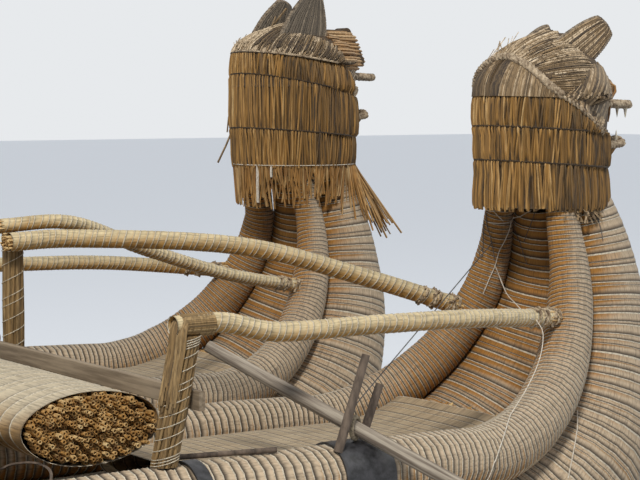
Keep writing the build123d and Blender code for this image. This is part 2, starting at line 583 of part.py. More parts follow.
# Thole pins, wraps and oars.
dip = radians(OAR_DIP)
ring_r = (LOOM_R + TOUCH + GROMMET_R) / cos(dip)
gunwale_z = OUTER_CROWN_Z - AMIDSHIPS.outer
wrap_r = AMIDSHIPS.outer + WRAP_THICK
main_y = HULL_Y + MAIN_FLAT * AMIDSHIPS.main
pivot_y = OUTER_CROWN_Y + OAR_OUT
pivot_z = gunwale_z + sqrt(wrap_r**2 - OAR_OUT**2) + GROMMET_LIFT + ring_r + GROMMET_R
for hull_name, side in (("starboard", -1), ("port", 1)):
    pivot = Vector(OAR_X, side * pivot_y, pivot_z)
    heading = radians(OAR_HEADING)
    ahead = Vector(cos(heading), side * sin(heading), 0)
    along = ahead * cos(dip) - Vector(0, 0, sin(dip))
    athwart = Vector(0, 0, 1).cross(ahead)

    with BuildPart() as pins:
        for end, above, lean in PINS:
            line = radians(PIN_LINE)
            foot = pivot + Vector(cos(line), -side * sin(line), 0) * (end * PIN_SPREAD / 2)
            up = Vector(sin(radians(lean)), 0, cos(radians(lean)))
            with Locations(Plane(origin=foot - up * PIN_SUNK, z_dir=up)):
                Cone(PIN_R, PIN_TOP_R, above + PIN_SUNK, align=(Align.CENTER, Align.CENTER, Align.MIN))
    pins.part.label = f"{hull_name}_thole_pins"
    export_step(pins.part, f"parts/{pins.part.label}.step")

    with BuildPart() as wraps:
        for start, length in WRAPS:
            with BuildSketch(section_plane(OAR_X + start, side * OUTER_CROWN_Y, gunwale_z, 1, 0)):
                Circle(wrap_r)
                Circle(AMIDSHIPS.outer + TOUCH, mode=Mode.SUBTRACT)
                with Locations((side * (main_y - OUTER_CROWN_Y), MAIN_AXIS_Z - gunwale_z)):
                    Circle(AMIDSHIPS.main + WRAP_CLEAR, mode=Mode.SUBTRACT)
            extrude(amount=length)
        add(pins.part, mode=Mode.SUBTRACT)
    wraps.part.label = f"{hull_name}_rubber_wraps"
    export_step(wraps.part, f"parts/{wraps.part.label}.step")

    with BuildPart() as grommet:
        with Locations(Plane(origin=pivot, z_dir=ahead)):
            Torus(ring_r, GROMMET_R)
    grommet.part.label = f"{hull_name}_oar_grommet"
    export_step(grommet.part, f"parts/{grommet.part.label}.step")

    with BuildPart() as loom:
        with BuildSketch(Plane(origin=pivot, x_dir=along, z_dir=athwart)):
            with BuildLine():
                Polyline(
                    (-LOOM_IN, 0),
                    (-LOOM_IN, GRIP_R),
                    (-LOOM_BEARING, LOOM_R),
                    (LOOM_BEARING, LOOM_R),
                    (LOOM_THICK_AT, LOOM_THICK_R),
                    (BLADE_START, LOOM_NECK_R),
                    (LOOM_OUT, LOOM_NECK_R),
                    (LOOM_OUT, 0),
                    close=True,
                )
            make_face()
        revolve(axis=Axis(pivot, along))
    loom.part.label = f"{hull_name}_oar_loom"
    export_step(loom.part, f"parts/{loom.part.label}.step")

    side_step = LOOM_NECK_R + TOUCH
    with BuildPart() as blade:
        with BuildSketch(Plane(origin=pivot + athwart * side_step, x_dir=along, z_dir=athwart)) as outline:
            with BuildLine():
                Polyline(
                    (BLADE_START, -BLADE_NECK_WIDTH / 2),
                    (BLADE_START + BLADE_LENGTH, -BLADE_WIDTH / 2),
                    (BLADE_START + BLADE_LENGTH, BLADE_WIDTH / 2),
                    (BLADE_START, BLADE_NECK_WIDTH / 2),
                    close=True,
                )
            make_face()
            fillet(outline.vertices(), BLADE_NECK_WIDTH * 0.35)
        extrude(amount=BLADE_THICK)
    blade.part.label = f"{hull_name}_oar_blade"
    export_step(blade.part, f"parts/{blade.part.label}.step")

# Stay from the starboard tall pin to the inboard gunwale bundle under the starboard head.
high = BOW_STATIONS[-1]
high_plane = bow_plane(-HULL_Y, high)
stay_out, stay_up = gunwale_offset(high.main, high.inner, high.lift)
stay_end = high_plane.from_local_coords(Vector(stay_out, stay_up, 0))
tall_end, tall_above, tall_lean = PINS[0]
line = radians(PIN_LINE)
tall_x = OAR_X + tall_end * PIN_SPREAD / 2 * cos(line) + STAY_RISE * sin(radians(tall_lean))
tall_y = -pivot_y + tall_end * PIN_SPREAD / 2 * sin(line)
tie = Vector(tall_x, tall_y + PIN_R + TOUCH + STAY_R, pivot_z + STAY_RISE)
with BuildPart() as stay:
    with Locations(Plane(origin=tie, z_dir=stay_end - tie)):
        Cylinder(STAY_R, (stay_end - tie).length, align=(Align.CENTER, Align.CENTER, Align.MIN))
    add(hulls["starboard_gunwale_inner"], mode=Mode.SUBTRACT)
stay.part.label = "starboard_stay"
export_step(stay.part, "parts/starboard_stay.step")

# Loose lashing stick that lies on the starboard gunwale.
turn = radians(STICK_TURN)
with BuildPart() as stick:
    start = Vector(STICK_X, -STICK_Y, OUTER_CROWN_Z + TOUCH + STICK_R)
    with Locations(Plane(origin=start, z_dir=(cos(turn), -sin(turn), 0))):
        Cylinder(STICK_R, STICK_LENGTH, align=(Align.CENTER, Align.CENTER, Align.MIN))
stick.part.label = "lashing_stick"
export_step(stick.part, "parts/lashing_stick.step")
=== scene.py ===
"""Looks of a double-hulled reed boat: bound reed bundles, woven cat heads, rails, seats and oars."""

import random
from math import atan2, ceil, cos, degrees, pi, radians, sin, sqrt

import bpy
import numpy as np
from mathutils import Euler, Matrix, Vector
from mathutils.bvhtree import BVHTree


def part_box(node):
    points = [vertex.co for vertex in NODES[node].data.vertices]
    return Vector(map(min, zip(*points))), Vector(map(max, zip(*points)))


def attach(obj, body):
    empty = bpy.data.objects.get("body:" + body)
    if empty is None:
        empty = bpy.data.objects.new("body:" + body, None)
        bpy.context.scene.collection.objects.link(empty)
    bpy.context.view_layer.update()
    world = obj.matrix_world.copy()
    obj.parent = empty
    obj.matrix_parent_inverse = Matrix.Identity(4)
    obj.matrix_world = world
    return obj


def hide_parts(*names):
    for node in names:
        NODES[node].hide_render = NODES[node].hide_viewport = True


bl_info = {
    "name": "Reed Boat",
    "version": (1, 0, 0),
    "blender": (4, 5, 0),
    "location": "View3D > Sidebar > Reed Boat",
    "description": "Dresses a double-hulled reed boat with bound reeds, woven heads and rigging",
    "category": "Add Mesh",
}

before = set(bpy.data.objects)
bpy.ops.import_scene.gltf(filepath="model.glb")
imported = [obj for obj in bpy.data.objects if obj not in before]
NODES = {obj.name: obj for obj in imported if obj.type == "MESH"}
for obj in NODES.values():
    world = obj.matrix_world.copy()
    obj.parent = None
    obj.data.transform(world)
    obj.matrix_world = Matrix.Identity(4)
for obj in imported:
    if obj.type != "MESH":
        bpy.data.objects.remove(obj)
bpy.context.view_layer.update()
TOP_BODY = "hull"

# Centre lines of the hull bundles, in metres.
HULL_Y = 0.860
HULLS = (("starboard", -HULL_Y), ("port", HULL_Y))
MAIN_Z = 0.022
FLAT = 0.917
LEAN = radians(23.0)
BOW_X, BOW_R = 3.230, 0.950
STERN_X, STERN_R = -3.050, 1.150
FULL_X = 2.905
# turn in degrees; radii of the big, outboard gunwale and inboard gunwale bundles; lift
MIDDLE = (0.360, 0.115, 0.105, 0.0003)
BOW = (
    (0, 0.350, 0.113, 0.103, 0.002),
    (18, 0.338, 0.112, 0.101, 0.003),
    (36, 0.312, 0.109, 0.098, 0.004),
    (54, 0.272, 0.105, 0.095, 0.004),
    (72, 0.222, 0.097, 0.088, 0.004),
    (88, 0.174, 0.086, 0.078, 0.004),
    (104, 0.136, 0.069, 0.063, 0.004),
)
NECK = (0.120, 0.060, 0.055, 0.004)
STERN = (
    (0, 0.350, 0.113, 0.103, 0.002),
    (12, 0.339, 0.112, 0.102, 0.003),
    (24, 0.318, 0.109, 0.099, 0.004),
    (36, 0.287, 0.104, 0.095, 0.004),
    (48, 0.246, 0.096, 0.089, 0.004),
    (60, 0.200, 0.085, 0.080, 0.004),
    (72, 0.150, 0.070, 0.066, 0.004),
)
TIP = (0.105, 0.055, 0.052, 0.004)
TIP_RUN = 0.230
NECK_TOP = {"starboard": 1.292, "port": 1.404}
PAD_START, PAD_THICK, PAD_LIFT = 2.240, 0.105, 0.004
HEAD_X = 4.020

# The photograph's view: its size and focal length in pixels, the row of the horizon, and the camera.
PICTURE_WIDTH, PICTURE_HEIGHT = 640.0, 480.0
FOCAL_PIXELS = 1846.0
HORIZON_ROW = 97.0
CAMERA_PLACE = (-0.841, -6.268, 1.714)
CAMERA_BEARING = radians(54.886)
CAMERA_TURN = (
    pi / 2 - atan2(PICTURE_HEIGHT / 2 - HORIZON_ROW, FOCAL_PIXELS),
    0.0,
    CAMERA_BEARING - pi / 2,
)


class ReedBoatSizes(bpy.types.PropertyGroup):
    """Sizes of the bindings and reeds."""

    main_pitch: bpy.props.FloatProperty(
        name="Hull twine pitch",
        description="Distance between twine turns on the big bundles",
        default=0.036,
        unit="LENGTH",
    )
    gunwale_pitch: bpy.props.FloatProperty(
        name="Gunwale twine pitch",
        description="Distance between twine turns on the gunwale bundles",
        default=0.036,
        unit="LENGTH",
    )
    rail_pitch: bpy.props.FloatProperty(
        name="Rail twine pitch",
        description="Distance between twine turns on the rails",
        default=0.026,
        unit="LENGTH",
    )
    reed_width: bpy.props.FloatProperty(
        name="Reed width",
        description="Width of one reed on the heads",
        default=0.0108,
        unit="LENGTH",
    )
    seed: bpy.props.IntProperty(
        name="Seed", description="Seed of the small differences between reeds", default=7
    )


def colour_property(name, description, default):
    """Colour that the user can change."""
    return bpy.props.FloatVectorProperty(
        name=name, description=description, default=default, subtype="COLOR", min=0, max=1
    )


class ReedBoatColours(bpy.types.PropertyGroup):
    """Colours of the reeds, twine and wood."""

    straw: colour_property("Straw", "Main colour of the hull's reeds", (0.47, 0.235, 0.050))
    # The pale colour is partly real sun-bleaching, partly painted sunlight on the faces turned to the sun.
    pale: colour_property("Sun-bleached and sunlit reed", "Hull reeds that face the sun", (0.58, 0.455, 0.315))
    # Painted shade, used in the gaps between reeds and beside each turn of twine.
    gap: colour_property("Painted shade", "Painted shade between reeds and beside the twine", (0.030, 0.019, 0.011))
    twine: colour_property("Twine", "Binding twine", (0.68, 0.61, 0.48))
    wood: colour_property("Weathered wood", "Oars", (0.40, 0.35, 0.28))


def sizes():
    return bpy.context.scene.reed_boat_sizes


def colours():
    return bpy.context.scene.reed_boat_colours


# Shader groups


def new_group(name, inputs, outputs):
    """Empty shader group with float, vector or colour sockets."""
    group = bpy.data.node_groups.new(name, "ShaderNodeTree")
    for label, kind, value in inputs:
        socket = group.interface.new_socket(name=label, in_out="INPUT", socket_type=f"NodeSocket{kind}")
        if value is not None:
            socket.default_value = value
    for label, kind in outputs:
        group.interface.new_socket(name=label, in_out="OUTPUT", socket_type=f"NodeSocket{kind}")
    start = group.nodes.new("NodeGroupInput")
    end = group.nodes.new("NodeGroupOutput")
    return group, start, end


def shader_node(tree, kind, settings=(), **values):
    """Adds a node, sets its properties and its input sockets."""
    node = tree.nodes.new(kind)
    for key, value in dict(settings).items():
        setattr(node, key, value)
    for key, value in values.items():
        node.inputs[key.replace("_", " ")].default_value = value
    return node


def strand_grain():
    """Long strands beside each other: 0 in the gaps, 1 on the strands, and slow patches of tone."""
    name = "Strand grain"
    if name in bpy.data.node_groups:
        return bpy.data.node_groups[name]
    group, start, end = new_group(
        name,
        (("Along", "Vector", None), ("Scale", "Float", 100.0), ("Stretch", "Float", 0.03)),
        (("Strand", "Float"), ("Patch", "Float"), ("Fleck", "Float")),
    )
    link = group.links.new
    split = shader_node(group, "ShaderNodeSeparateXYZ")
    link(start.outputs["Along"], split.inputs[0])
    squeeze = shader_node(group, "ShaderNodeMath", {"operation": "MULTIPLY"})
    link(split.outputs[0], squeeze.inputs[0])
    link(start.outputs["Stretch"], squeeze.inputs[1])
    join = shader_node(group, "ShaderNodeCombineXYZ")
    link(squeeze.outputs[0], join.inputs[0])
    link(split.outputs[1], join.inputs[1])
    link(split.outputs[2], join.inputs[2])
    strands = shader_node(group, "ShaderNodeTexNoise", Detail=2.0, Roughness=0.55)
    link(join.outputs[0], strands.inputs["Vector"])
    link(start.outputs["Scale"], strands.inputs["Scale"])
    sharp = shader_node(group, "ShaderNodeMapRange")
    sharp.inputs["From Min"].default_value = 0.32
    sharp.inputs["From Max"].default_value = 0.56
    link(strands.outputs["Fac"], sharp.inputs["Value"])
    link(sharp.outputs["Result"], end.inputs["Strand"])
    patches = shader_node(group, "ShaderNodeTexNoise", Scale=3.2, Detail=4.0, Roughness=0.6)
    link(start.outputs["Along"], patches.inputs["Vector"])
    link(patches.outputs["Fac"], end.inputs["Patch"])
    flecks = shader_node(group, "ShaderNodeTexNoise", Detail=3.0, Roughness=0.7)
    half = shader_node(group, "ShaderNodeMath", {"operation": "MULTIPLY"})
    half.inputs[1].default_value = 0.45
    link(start.outputs["Scale"], half.inputs[0])
    link(join.outputs[0], flecks.inputs["Vector"])
    link(half.outputs[0], flecks.inputs["Scale"])
    link(flecks.outputs["Fac"], end.inputs["Fleck"])
    return group


def sun_bleach_and_painted_light():
    """How far a spot is turned to the sun, broken up by blotches: partly real sun-bleaching, partly painted
    sunlight.
    """
    name = "Sky bleach"
    if name in bpy.data.node_groups:
        return bpy.data.node_groups[name]
    group, start, end = new_group(
        name,
        (("Low", "Float", 0.1), ("High", "Float", 0.8), ("Blotch", "Float", 0.7)),
        (("Bleach", "Float"),),
    )
    link = group.links.new
    facing = shader_node(group, "ShaderNodeNewGeometry")
    sun = shader_node(group, "ShaderNodeVectorMath", {"operation": "DOT_PRODUCT"})
    sun.inputs[1].default_value = (0.60, -0.30, 0.74)
    link(facing.outputs["Normal"], sun.inputs[0])
    spots = shader_node(group, "ShaderNodeTexNoise", Scale=7.0, Detail=4.0, Roughness=0.65)
    place = shader_node(group, "ShaderNodeTexCoord")
    link(place.outputs["Object"], spots.inputs["Vector"])
    centred = shader_node(group, "ShaderNodeMath", {"operation": "SUBTRACT"})
    centred.inputs[1].default_value = 0.5
    link(spots.outputs["Fac"], centred.inputs[0])
    mixed = shader_node(group, "ShaderNodeMath", {"operation": "MULTIPLY_ADD"})
    link(centred.outputs[0], mixed.inputs[0])
    link(start.outputs["Blotch"], mixed.inputs[1])
    link(sun.outputs["Value"], mixed.inputs[2])
    ranged = shader_node(group, "ShaderNodeMapRange")
    link(mixed.outputs[0], ranged.inputs["Value"])
    link(start.outputs["Low"], ranged.inputs["From Min"])
    link(start.outputs["High"], ranged.inputs["From Max"])
    link(ranged.outputs["Result"], end.inputs["Bleach"])
    return group


def new_material(name):
    """Material with a principled shader; returns it with its tree and shader."""
    material = bpy.data.materials.new(name)
    material.use_nodes = True
    shader = material.node_tree.nodes["Principled BSDF"]
    return material, material.node_tree, shader


def mix_colour(tree, factor, one, two, blend="MIX"):
    """Mix node; one and two are colours or output sockets, factor a number or a socket."""
    node = tree.nodes.new("ShaderNodeMix")
    node.data_type = "RGBA"
    node.blend_type = blend
    for index, value in ((0, factor), (6, one), (7, two)):
        if isinstance(value, bpy.types.NodeSocket):
            tree.links.new(value, node.inputs[index])
        elif index == 0:
            node.inputs[0].default_value = value
        else:
            node.inputs[index].default_value = (*value, 1.0)
    return node.outputs[2]


def bump(tree, height, shader, strength, distance):
    node = shader_node(tree, "ShaderNodeBump", Strength=strength, Distance=distance)
    tree.links.new(height, node.inputs["Height"])
    tree.links.new(node.outputs["Normal"], shader.inputs["Normal"])


def place_grouped(tree, group, **values):
    node = tree.nodes.new("ShaderNodeGroup")
    node.node_tree = group
    for key, value in values.items():
        node.inputs[key].default_value = value
    return node


# How far the gaps between a bundle's strands go to the shade colour: painted shade between the reeds.
STRAND_GAP_SHADE = 0.42


def scaled(colour, *shares):
    """A colour with its channels multiplied; one share does for all three."""
    return tuple(min(1.0, value * share) for value, share in zip(colour, shares * (3 // len(shares))))


def bundle_material(name, straw, pale, gap, scale=150.0, bleach_and_light=(-0.12, 0.38), bound=0.50, dark=0.97):
    """Reeds laid lengthwise in a bundle, with a painted shadow beside each turn of twine; follows the bend.
    """
    made, tree, shader = new_material(name)
    lengthwise = shader_node(tree, "ShaderNodeAttribute", {"attribute_name": "reed"})
    grain = place_grouped(tree, strand_grain(), Scale=scale, Stretch=0.07)
    tree.links.new(lengthwise.outputs["Vector"], grain.inputs["Along"])
    tinted = mix_colour(tree, grain.outputs["Patch"], straw, scaled(straw, 1.05, 0.78, 0.55))
    flecked = mix_colour(tree, grain.outputs["Fleck"], scaled(straw, 0.62), tinted)
    sun_and_bleach = place_grouped(tree, sun_bleach_and_painted_light(), Low=bleach_and_light[0], High=bleach_and_light[1])
    grey = mix_colour(tree, grain.outputs["Fleck"], scaled(pale, 0.72), scaled(pale, 1.12))
    # Painted sunlight, partly real sun-bleaching: faces turned to the sun take the paler colour.
    bleached_and_sunlit = mix_colour(tree, sun_and_bleach.outputs["Bleach"], flecked, grey)
    # Painted shade in the gaps between the strands.
    deep = mix_colour(tree, STRAND_GAP_SHADE, bleached_and_sunlit, gap)
    stranded = mix_colour(tree, grain.outputs["Strand"], deep, bleached_and_sunlit)
    # Painted shadow: a dark band on one side of each turn of twine, as wide as bound and as deep as dark.
    near = shader_node(tree, "ShaderNodeAttribute", {"attribute_name": "bind"})
    smoothly = {"interpolation_type": "SMOOTHSTEP"}
    edge = shader_node(tree, "ShaderNodeMapRange", smoothly, From_Max=bound, To_Min=1.0 - dark)
    tree.links.new(near.outputs["Fac"], edge.inputs["Value"])
    tree.links.new(mix_colour(tree, edge.outputs["Result"], gap, stranded), shader.inputs["Base Color"])
    shader.inputs["Roughness"].default_value = 0.8
    bump(tree, grain.outputs["Strand"], shader, 0.35, 0.003)
    return made


def stalk_material(name, dark, straw, pale, bleach_and_light):
    """Single reeds; each has its own tone, with fine specks along it; faces turned to the sun go paler,
    partly real sun-bleaching and partly painted sunlight.
    """
    made, tree, shader = new_material(name)
    tone = shader_node(tree, "ShaderNodeAttribute", {"attribute_name": "tone"})
    ramp = tree.nodes.new("ShaderNodeValToRGB")
    ramp.color_ramp.elements[0].color = (*dark, 1)
    ramp.color_ramp.elements[1].color = (*pale, 1)
    middle = ramp.color_ramp.elements.new(0.45)
    middle.color = (*straw, 1)
    tree.links.new(tone.outputs["Fac"], ramp.inputs["Fac"])
    place = tree.nodes.new("ShaderNodeTexCoord")
    mapping = shader_node(tree, "ShaderNodeMapping", Scale=(1.0, 1.0, 0.10))
    tree.links.new(place.outputs["Object"], mapping.inputs["Vector"])
    speck = shader_node(tree, "ShaderNodeTexNoise", Scale=110.0, Detail=3.0, Roughness=0.6)
    tree.links.new(mapping.outputs["Vector"], speck.inputs["Vector"])
    sharp = shader_node(tree, "ShaderNodeMapRange", From_Min=0.34, From_Max=0.58)
    tree.links.new(speck.outputs["Fac"], sharp.inputs["Value"])
    shaded = mix_colour(tree, sharp.outputs["Result"], scaled(straw, 0.45), ramp.outputs["Color"])
    sun_and_bleach = place_grouped(tree, sun_bleach_and_painted_light(), Low=bleach_and_light[0], High=bleach_and_light[1])
    tree.links.new(mix_colour(tree, sun_and_bleach.outputs["Bleach"], shaded, pale), shader.inputs["Base Color"])
    shader.inputs["Roughness"].default_value = 0.7
    bump(tree, speck.outputs["Fac"], shader, 0.25, 0.002)
    return made


def plain_material(
    name, colour, other, scale, rough=0.8, stretch=(1, 1, 1), turn=(0, 0, 0), depth=0.002, strength=0.4
):
    """Two colours mixed by stretched noise in object space."""
    made, tree, shader = new_material(name)
    place = tree.nodes.new("ShaderNodeTexCoord")
    mapping = shader_node(tree, "ShaderNodeMapping", {"vector_type": "TEXTURE"})
    mapping.inputs["Scale"].default_value = tuple(1 / v for v in stretch)
    mapping.inputs["Rotation"].default_value = turn
    tree.links.new(place.outputs["Object"], mapping.inputs["Vector"])
    noise = shader_node(tree, "ShaderNodeTexNoise", Scale=scale, Detail=5.0, Roughness=0.62)
    tree.links.new(mapping.outputs["Vector"], noise.inputs["Vector"])
    ranged = shader_node(tree, "ShaderNodeMapRange", From_Min=0.38, From_Max=0.62)
    tree.links.new(noise.outputs["Fac"], ranged.inputs["Value"])
    tree.links.new(mix_colour(tree, ranged.outputs["Result"], colour, other), shader.inputs["Base Color"])
    shader.inputs["Roughness"].default_value = rough
    bump(tree, noise.outputs["Fac"], shader, strength, depth)
    return made


# Bundles other than the hull's; bound and dark set the width and depth of the painted shadow beside the
# twine, and the last range the turn to the sun for the paler colour, partly painted sunlight.
BUNDLE_FINISHES = {
    "rail reeds": {
        "straw": (0.48, 0.285, 0.08), "pale": (0.74, 0.61, 0.37),
        "scale": 150.0, "bleach_and_light": (-0.25, 0.65), "bound": 0.14, "dark": 0.45,
    },
    "seat reeds": {
        "straw": (0.40, 0.27, 0.12), "pale": (0.60, 0.51, 0.36),
        "scale": 120.0, "bleach_and_light": (-0.5, 0.5), "bound": 0.12, "dark": 0.8,
    },
    "pad reeds": {
        "straw": (0.36, 0.25, 0.12), "pale": (0.52, 0.42, 0.285),
        "scale": 110.0, "bleach_and_light": (-0.2, 0.9), "bound": 0.22, "dark": 0.85,
    },
}
# Single reeds: the darkest, the usual and the palest one, and the turn to the sun at which the paling,
# partly real sun-bleaching and partly painted sunlight, starts and is full.
STALK_FINISHES = {
    "post reeds": ((0.05, 0.032, 0.015), (0.21, 0.125, 0.042), (0.44, 0.31, 0.15), (0.3, 2.4)),
    "head reeds": ((0.042, 0.025, 0.011), (0.40, 0.215, 0.055), (0.62, 0.43, 0.20), (0.35, 2.0)),
    "fringe reeds": ((0.12, 0.05, 0.015), (0.38, 0.195, 0.05), (0.58, 0.42, 0.21), (0.3, 1.5)),
    "crown reeds": ((0.030, 0.019, 0.012), (0.30, 0.20, 0.10), (0.74, 0.60, 0.42), (0.6, 2.2)),
    "shaded ear reeds": ((0.05, 0.04, 0.03), (0.17, 0.135, 0.095), (0.40, 0.34, 0.26), (0.4, 2.0)),
    "snout reeds": ((0.07, 0.03, 0.012), (0.40, 0.205, 0.065), (0.64, 0.46, 0.26), (0.5, 1.8)),
    "cut reeds": ((0.10, 0.045, 0.015), (0.50, 0.27, 0.075), (0.86, 0.66, 0.34), (0.5, 1.4)),
}
# Two colours, how fine they mix, and what differs from the usual surface.
PLAIN_FINISHES = {
    # Near-black core under the head and post reeds: painted shade deep between the reeds.
    "core in painted shade": ((0.035, 0.022, 0.012), (0.09, 0.055, 0.025), 60.0, {}),
    "ear core": ((0.13, 0.09, 0.055), (0.30, 0.23, 0.15), 60.0, {}),
    "white twine": ((0.78, 0.74, 0.66), (0.55, 0.48, 0.38), 120.0, {}),
    "dark line": ((0.05, 0.05, 0.05), (0.12, 0.11, 0.10), 120.0, {"rough": 0.7}),
    # Near-black strings round the head bands: partly real string, partly painted shade in the grooves.
    "groove string and shade": ((0.022, 0.014, 0.008), (0.07, 0.045, 0.022), 120.0, {}),
    "ear rope": ((0.07, 0.05, 0.035), (0.34, 0.27, 0.19), 75.0, {"depth": 0.003, "strength": 0.6}),
    "seam rope": ((0.15, 0.10, 0.06), (0.56, 0.45, 0.31), 55.0, {"depth": 0.003, "strength": 0.6}),
    "grommet rope": ((0.40, 0.33, 0.22), (0.16, 0.12, 0.08), 120.0, {"rough": 0.85}),
    "rubber": ((0.012, 0.012, 0.013), (0.045, 0.045, 0.05), 35.0, {"rough": 0.42, "strength": 0.3}),
    "tooth reed": ((0.86, 0.82, 0.70), (0.66, 0.55, 0.38), 90.0, {"rough": 0.6}),
    "branch": (
        (0.045, 0.032, 0.024), (0.16, 0.12, 0.09), 30.0,
        {"rough": 0.85, "stretch": (1, 1, 0.25), "depth": 0.004, "strength": 0.8},
    ),
    "bar wood": (
        (0.30, 0.235, 0.16), (0.15, 0.11, 0.07), 60.0,
        {"rough": 0.75, "stretch": (1, 0.05, 1), "depth": 0.001},
    ),
}
# An oar's grain follows its loom: bearing and dip in degrees.
OAR_BEARING, OAR_DIP = 57.0, 24.5
OAR_DARK = (0.13, 0.10, 0.075)
MATERIALS = {}


def new_finish(name):
    """Material of a finish; those of the hull, the twine and the oars follow the user's colours."""
    chosen = colours()
    straw, pale, gap, twine = (tuple(c) for c in (chosen.straw, chosen.pale, chosen.gap, chosen.twine))
    if name in BUNDLE_FINISHES:
        return bundle_material(name, gap=gap, **BUNDLE_FINISHES[name])
    if name in STALK_FINISHES:
        return stalk_material(name, *STALK_FINISHES[name])
    if name in PLAIN_FINISHES:
        colour, other, scale, rest = PLAIN_FINISHES[name]
        return plain_material(name, colour, other, scale, **rest)
    if name == "hull reeds":
        return bundle_material(name, straw, pale, gap)
    if name == "gunwale reeds":
        return bundle_material(name, scaled(straw, 1.04), pale, gap)
    if name == "twine":
        return plain_material(name, twine, scaled(twine, 0.55), 120.0, 0.85)
    if name in ("oar wood starboard", "oar wood port"):
        bearing = radians(OAR_BEARING if name == "oar wood port" else -OAR_BEARING)
        return plain_material(
            name, tuple(chosen.wood), OAR_DARK, 75.0, 0.75, (0.05, 1, 1),
            turn=(0, radians(OAR_DIP), bearing), depth=0.001, strength=0.7,
        )
    raise KeyError(name)


def material(name):
    """Each finish is made once, when it is first asked for."""
    if name not in MATERIALS:
        MATERIALS[name] = new_finish(name)
    return MATERIALS[name]


# Modelling helpers


def deselect():
    for obj in list(bpy.context.selected_objects):
        obj.select_set(False)


def activate(obj):
    deselect()
    obj.select_set(True)
    bpy.context.view_layer.objects.active = obj


def turned(name, profile, sides):
    """Tube along X: a circle that is extruded and scaled from one (x, radius) to the next."""
    deselect()
    (x, radius), rest = profile[0], profile[1:]
    bpy.ops.mesh.primitive_circle_add(
        vertices=sides, radius=radius, location=(x, 0, 0), rotation=(0, pi / 2, 0)
    )
    obj = bpy.context.active_object
    obj.name = name
    bpy.ops.object.transform_apply(location=True, rotation=True, scale=True)
    bpy.ops.object.mode_set(mode="EDIT")
    bpy.ops.mesh.select_all(action="SELECT")
    for next_x, next_radius in rest:
        bpy.ops.mesh.extrude_region_move(TRANSFORM_OT_translate={"value": (next_x - x, 0, 0)})
        ratio = next_radius / radius
        bpy.ops.transform.resize(value=(1, ratio, ratio))
        x, radius = next_x, next_radius
    bpy.ops.object.mode_set(mode="OBJECT")
    return obj


def recalculate(obj):
    """Merges doubles and turns the faces outwards."""
    activate(obj)
    bpy.ops.object.mode_set(mode="EDIT")
    bpy.ops.mesh.select_all(action="SELECT")
    bpy.ops.mesh.remove_doubles(threshold=0.00002)
    bpy.ops.mesh.normals_make_consistent(inside=False)
    bpy.ops.object.mode_set(mode="OBJECT")


def join(objects, name):
    """Joins pieces into the first one."""
    first = objects[0]
    with bpy.context.temp_override(
        active_object=first, object=first, selected_objects=objects, selected_editable_objects=objects
    ):
        bpy.ops.object.join()
    first.name = name
    return first


def smooth(obj, angle=None):
    activate(obj)
    if angle is None:
        bpy.ops.object.shade_smooth()
    else:
        bpy.ops.object.shade_smooth_by_angle(angle=radians(angle))


def finish_piece(obj, replaced=()):
    """Hands a finished piece to the hull's body."""
    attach(obj, TOP_BODY)
    if replaced:
        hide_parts(*replaced)
    return obj


def refinish(node, finish):
    """Gives a CAD node its finish."""
    mesh = NODES[node].data
    mesh.materials.clear()
    mesh.materials.append(material(finish))


def path_length(points):
    return sum((b - a).length for a, b in zip(points, points[1:]))


def vertex_places(mesh):
    """Places of a mesh's vertices, a row each."""
    coords = np.empty(len(mesh.vertices) * 3)
    mesh.vertices.foreach_get("co", coords)
    return coords.reshape(-1, 3)


def add_values(mesh, name, values, kind="FLOAT"):
    """Writes a value or vector to every vertex."""
    attribute = mesh.attributes.new(name, kind, "POINT")
    attribute.data.foreach_set("vector" if kind == "FLOAT_VECTOR" else "value", values.ravel())


def turns_along(length, pitch, squeeze):
    """Shares of a bundle's length, the turns of twine before each of them, and the whole count."""
    shares = np.linspace(0, 1, 400)
    pitches = np.interp(shares, *zip(*squeeze))
    steps = 0.5 * (1 / pitches[1:] + 1 / pitches[:-1])
    turns = np.concatenate(([0], np.cumsum(steps) * (shares[1] - shares[0]))) * length / pitch
    count = max(2, int(round(turns[-1])))
    return shares, turns * (count / turns[-1]), count


def one_turn(name, radius, edge, twine_r, puff, sides, reed):
    """The reeds between two turns of twine, one unit long, with half a turn at each end."""
    waist = radius * (1 - puff)
    crest = waist + twine_r * 1.5
    belly = radius * (1 + puff * 0.45)
    profile = ((0.0, crest), (edge, waist), (0.5, belly), (1 - edge, waist), (1.0, crest))
    cell = turned(name, profile, sides)
    cell.data.materials.append(material(reed))
    cell.data.materials.append(material("twine"))
    for face in cell.data.polygons:
        face.material_index = int(face.center.x < edge or face.center.x > 1 - edge)
    return cell


def repeat_along(obj, count):
    """Repeats a piece one unit long along X."""
    activate(obj)
    array = obj.modifiers.new("Turns of twine", "ARRAY")
    array.use_relative_offset = False
    array.use_constant_offset = True
    array.constant_offset_displace = (1, 0, 0)
    array.count = count
    bpy.ops.object.modifier_apply(modifier=array.name)


def bend_along(obj, points, widths):
    """Bends a straight piece along a path; widths gives its share of the full width at each point."""
    curve = bpy.data.curves.new(f"{obj.name}_path", "CURVE")
    curve.dimensions = "3D"
    curve.twist_mode = "MINIMUM"
    curve.use_radius = True
    curve.use_stretch = False
    spline = curve.splines.new("POLY")
    spline.points.add(len(points) - 1)
    for spot, place, width in zip(spline.points, points, widths):
        spot.co = (*place, 1)
        spot.radius = width
    guide = bpy.data.objects.new(curve.name, curve)
    bpy.context.scene.collection.objects.link(guide)
    activate(obj)
    bend = obj.modifiers.new("Bend", "CURVE")
    bend.object = guide
    bpy.ops.object.modifier_apply(modifier=bend.name)
    bpy.data.objects.remove(guide)
    bpy.data.curves.remove(curve)


